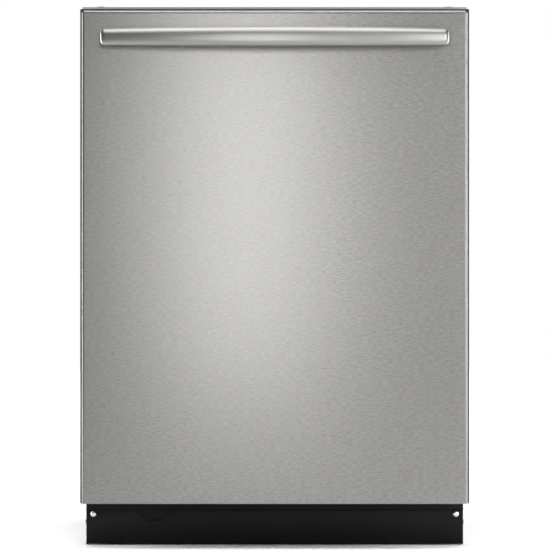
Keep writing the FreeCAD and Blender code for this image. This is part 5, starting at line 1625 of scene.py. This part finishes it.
@dataclass
class Dispenser:
    """Dispenser face, sprung lid with its latch, rinse-aid cap, and the dryer vent."""

    def build(self) -> None:
        """Dress housing and vent and make lid, cap, bezel and vent louvres."""
        dress("detergent_dispenser", DISPENSER_PLASTIC)
        dress("door_vent", DISPENSER_PLASTIC)
        self.bezel()
        self.lid()
        self.cap()
        self.louvres()

    def bezel(self) -> None:
        """Frame the housing with a raised bead and a sliding catch."""
        low, high = corners_of("detergent_dispenser")
        face = high.y - 4.4 * MM
        edge = 1.6 * MM
        path = [(low.x + edge, face, low.z + edge), (high.x - edge, face, low.z + edge),
                (high.x - edge, face, high.z - edge), (low.x + edge, face, high.z - edge)]
        mesh = wire_mesh("bezel", [path], edge, 8 * MM, 3, closed=True)
        make_piece("dispenser_bezel", mesh, "door", DISPENSER_PLASTIC)
        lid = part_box("detergent_lid")
        shape = Shape()
        shape.block((lid[0][0] + 40 * MM, face, lid[1][2] + 2.4 * MM),
                    (lid[0][0] + 66 * MM, face + 3.2 * MM, lid[1][2] + 8.4 * MM), 1 * MM, 2)
        make_piece("dispenser_catch", shape.mesh("catch"), "door", ARM_PLASTIC)

    def lid(self) -> None:
        """Make the lid: a plate with a raised bead, ribs below and its hinge barrel."""
        low, high = corners_of("detergent_lid")
        plate = high.y - 2 * MM
        shape = Shape()
        shape.block((low.x, plate, low.z + 1.6 * MM), high, 0.7 * MM, 2)
        top = max(shape.bm.faces, key=lambda face: face.calc_area() * (face.normal.y > 0.9))
        bmesh.ops.inset_region(shape.bm, faces=[top], thickness=6 * MM)
        bmesh.ops.inset_region(shape.bm, faces=[top], thickness=1.2 * MM)
        bmesh.ops.translate(shape.bm, verts=top.verts[:], vec=(0, -0.7 * MM, 0))
        barrel = (low.x, plate, low.z + 2 * MM)
        outline = [(1.06, 0), (2, 0.2), (2, (high.x - low.x) / MM - 0.2),
                   (1.06, (high.x - low.x) / MM), (1.06, 0)]
        shape.lathe(barrel, Axis.X, in_mm(outline), 20)
        for number in range(4):
            place = low.x + (40 + 8.5 * number) * MM
            shape.block((place - 1 * MM, plate + 1.4 * MM, high.z - 18 * MM),
                        (place + 1 * MM, high.y - 0.1 * MM, high.z - 8 * MM), 0.4 * MM, 1)
        make_piece("detergent_lid_plate", shape.mesh("lid"), "detergent_lid", DISPENSER_PLASTIC,
                   ["detergent_lid"])

    def cap(self) -> None:
        """Turn the rinse-aid cap: knurled rim, dished face and a bar to grip."""
        low, high = corners_of("rinse_aid_cap")
        middle = ((low.x + high.x) / 2, low.y, (low.z + high.z) / 2)
        radius = (high.x - low.x) / 2
        shape = Shape()
        shape.lathe(middle, Axis.Y, [(0, 0), (radius - 1 * MM, 0), (radius - 0.4 * MM, 0.6 * MM),
                                     (radius - 0.4 * MM, 2.4 * MM), (radius - 1.4 * MM, 3 * MM),
                                     (radius - 3.4 * MM, 3 * MM), (radius - 4.4 * MM, 2.2 * MM),
                                     (0, 2.2 * MM)], 48)
        for turn in round_turn(36):
            out = Vector((math.cos(turn), 0, math.sin(turn))) * (radius - 0.5 * MM)
            shape.bar(Vector(middle) + out + Vector((0, 0.4 * MM, 0)), Axis.Y, 2.2 * MM,
                      0.5 * MM, 6)
        shape.block((middle[0] - 13 * MM, low.y + 2 * MM, middle[2] - 2.6 * MM),
                    (middle[0] + 13 * MM, high.y, middle[2] + 2.6 * MM), 1.6 * MM, 3)
        make_piece("rinse_aid_cap_knob", shape.mesh("cap"), "rinse_aid_cap", ARM_PLASTIC,
                   ["rinse_aid_cap"])

    def louvres(self) -> None:
        """Close the vent's throat with slanted louvres on a cross rib."""
        low, high = corners_of("door_vent")
        middle = ((low.x + high.x) / 2, high.y - 3 * MM, (low.z + high.z) / 2)
        radius = (high.x - low.x) / 2 - 8.2 * MM
        shape = Shape()
        for rise in evenly(-radius * 0.8, radius * 0.8, 7):
            reach = math.sqrt(radius ** 2 - rise ** 2)
            place = Matrix.Translation((middle[0], middle[1], middle[2] + rise))
            tilt = Matrix.Rotation(math.radians(35), 4, "X")
            made = bmesh.ops.create_cube(shape.bm, size=1.0, matrix=place @ tilt
                                         @ Matrix.Diagonal((2 * reach, 5.4 * MM, 1.2 * MM, 1)))
            shape.soften({edge for vert in made["verts"] for edge in vert.link_edges}, 0.4 * MM, 1)
        shape.block((middle[0] - 1 * MM, middle[1] - 2 * MM, middle[2] - radius),
                    (middle[0] + 1 * MM, middle[1] + 1 * MM, middle[2] + radius), 0.4 * MM, 1)
        make_piece("door_vent_louvres", shape.mesh("louvres"), "door", DISPENSER_PLASTIC)


# --------------------------------------------------------------- mouth, rails and ducts
@dataclass
class MouthFrame:
    """The painted frame round the tub's mouth and its strike plate."""

    bead: float = 1.3 * MM

    def build(self) -> None:
        """Dress frame and strike plate, and add the plate's screws and the frame's beads."""
        dress("tub_front_frame", FRAME_PAINT)
        dress("strike_plate", TUB_STEEL)
        low, high = corners_of("strike_plate")
        middle = (low + high) / 2
        shape = Shape()
        for side in Side:
            shape.lathe((middle.x + side.value * 15 * MM, middle.y, high.z - 0.1 * MM), Axis.Z,
                        in_mm([(0, 1.3), (1.8, 1.2), (3.2, 0.5), (3.4, 0), (0, 0)]), 20)
        make_piece("strike_plate_screws", shape.mesh("screws"), "cabinet", SCREW_ZINC)
        self.seams()

    def seams(self) -> None:
        """Run a thin raised bead along the inner edge of the frame's side flanges."""
        low, high = corners_of("tub_front_frame")
        shape = Shape()
        for side in Side:
            place = side.value * (high.x - 9 * MM)
            shape.block((place - self.bead, low.y + 0.3 * MM, low.z + 6 * MM),
                        (place + self.bead, low.y + 1.7 * MM, high.z - 22 * MM), 0.5 * MM, 1)
        make_piece("front_frame_bead", shape.mesh("bead"), "cabinet", FRAME_PAINT)


@dataclass
class Rails:
    """The upper rack's rails: rolled channels on spacers, riveted to each wall."""

    def build(self) -> None:
        """Dress the rails and add their rivets."""
        dress("upper_rack_rails", TUB_STEEL)
        low, high = corners_of("upper_rack_rails")
        middle = (low.z + high.z) / 2
        shape = Shape()
        for place in (low.y + 24 * MM, (low.y + high.y) / 2, high.y - 24 * MM):
            shape.lathe((high.x - 11.9 * MM, place, middle), Axis.X,
                        in_mm([(0, -0.1), (2.4, 0.1), (3.1, 0.8), (0, 0.8)]),
                        20)
        shape.mirror()
        make_piece("rail_rivets", shape.mesh("rivets"), "cabinet", SCREW_ZINC)


@dataclass
class Ducts:
    """The feed pipe up the back wall and the branch to the middle arm."""

    band: float = 0.9 * MM

    def build(self) -> None:
        """Dress the ducts and add moulded bands round the riser."""
        dress("water_feed_pipe", ARM_PLASTIC)
        dress("middle_arm_feed", ARM_PLASTIC)
        low, high = corners_of("water_feed_pipe")
        place = (0.0, high.y - 7 * MM)
        shape = Shape()
        for height in evenly(low.z + 60 * MM, high.z - 60 * MM, 7):
            shape.lathe((*place, height), Axis.Z,
                        [(6.9 * MM, 0), (7 * MM + self.band, 0.6 * MM),
                         (7 * MM + self.band, 3.4 * MM), (6.9 * MM, 4 * MM), (6.9 * MM, 0)], 28)
        make_piece("feed_pipe_bands", shape.mesh("bands"), "cabinet", ARM_PLASTIC)


@dataclass
class TubFloor:
    """The tub floor, dressed as drawn sheet, with a pressed ring round the sump."""

    def build(self) -> None:
        """Dress the floor and press a ring round the sump."""
        dress("tub_floor", TUB_STEEL)
        low, high = corners_of("coarse_filter")
        middle = ((low.x + high.x) / 2, (low.y + high.y) / 2, high.z - 1.4 * MM)
        radius = (high.x - low.x) / 2
        shape = Shape()
        shape.lathe(middle, Axis.Z,
                    [(radius - 3 * MM, 0.2 * MM), (radius - 2 * MM, 1.4 * MM),
                     (radius - 0.6 * MM, 1.4 * MM), (radius, 0.2 * MM),
                     (radius - 3 * MM, 0.2 * MM)], 96)
        make_piece("sump_ring", shape.mesh("ring"), "cabinet", TUB_STEEL)


@dataclass
class Latch:
    """The latch hook that reaches out of the door's top edge."""

    def build(self) -> None:
        """Dress the hook."""
        dress("latch_hook", CONSOLE_ABS)


def dress_kept_nodes() -> None:
    """Give the CAD nodes that stay in sight, and have no class of their own, a finish."""
    finishes = {
        BASE_ZINC: ["base_side_rails", "base_cross_rails", "countertop_brackets",
                    "hinge_brackets", "hinge_arms", "junction_box"],
        SCREW_ZINC: ["handle_screws"],
        SEAL_RUBBER: ["door_bottom_seal"],
    }
    for finish, nodes in finishes.items():
        for node in nodes:
            dress(node, finish)


def main() -> None:
    """Build the machine piece by piece."""
    logging.basicConfig(level=logging.INFO, format="%(name)s: %(message)s")
    dress_kept_nodes()
    lower_axles = tuple(f"lower_rack_wheels_{place}" for place in ("front", "middle", "rear"))
    upper_axles = tuple(f"upper_rack_rollers_{place}" for place in ("front", "rear"))
    for assembly in (
            Studio(), DoorPanel(), BarHandle(), ToeKick(), MouthFrame(), TubLiner(), TubFloor(),
            InnerDoor(), Gasket(), Console(), Latch(), Dispenser(), Rails(), Ducts(),
            WireRack("lower", 148 * MM, 13.2 * MM, lower_axles),
            WireRack("upper", 128 * MM, 14.2 * MM, upper_axles),
            TineRows("lower_rack_tines", "lower_rack", 6, 12),
            TineRows("upper_rack_tines", "upper_rack", 4, 12),
            CupShelf(Side.LEFT), CupShelf(Side.RIGHT), CutleryBasket(),
            SprayArm("lower_spray_arm", 7), SprayArm("middle_spray_arm", 7),
            SprayArm("ceiling_spray_arm", 4), Filters(), Heater(), Underneath()):
        LOG.info("building %s", type(assembly).__name__)
        assembly.build()
    felt_pads()
    bpy.context.view_layer.update()


if __name__ == "__main__":
    main()
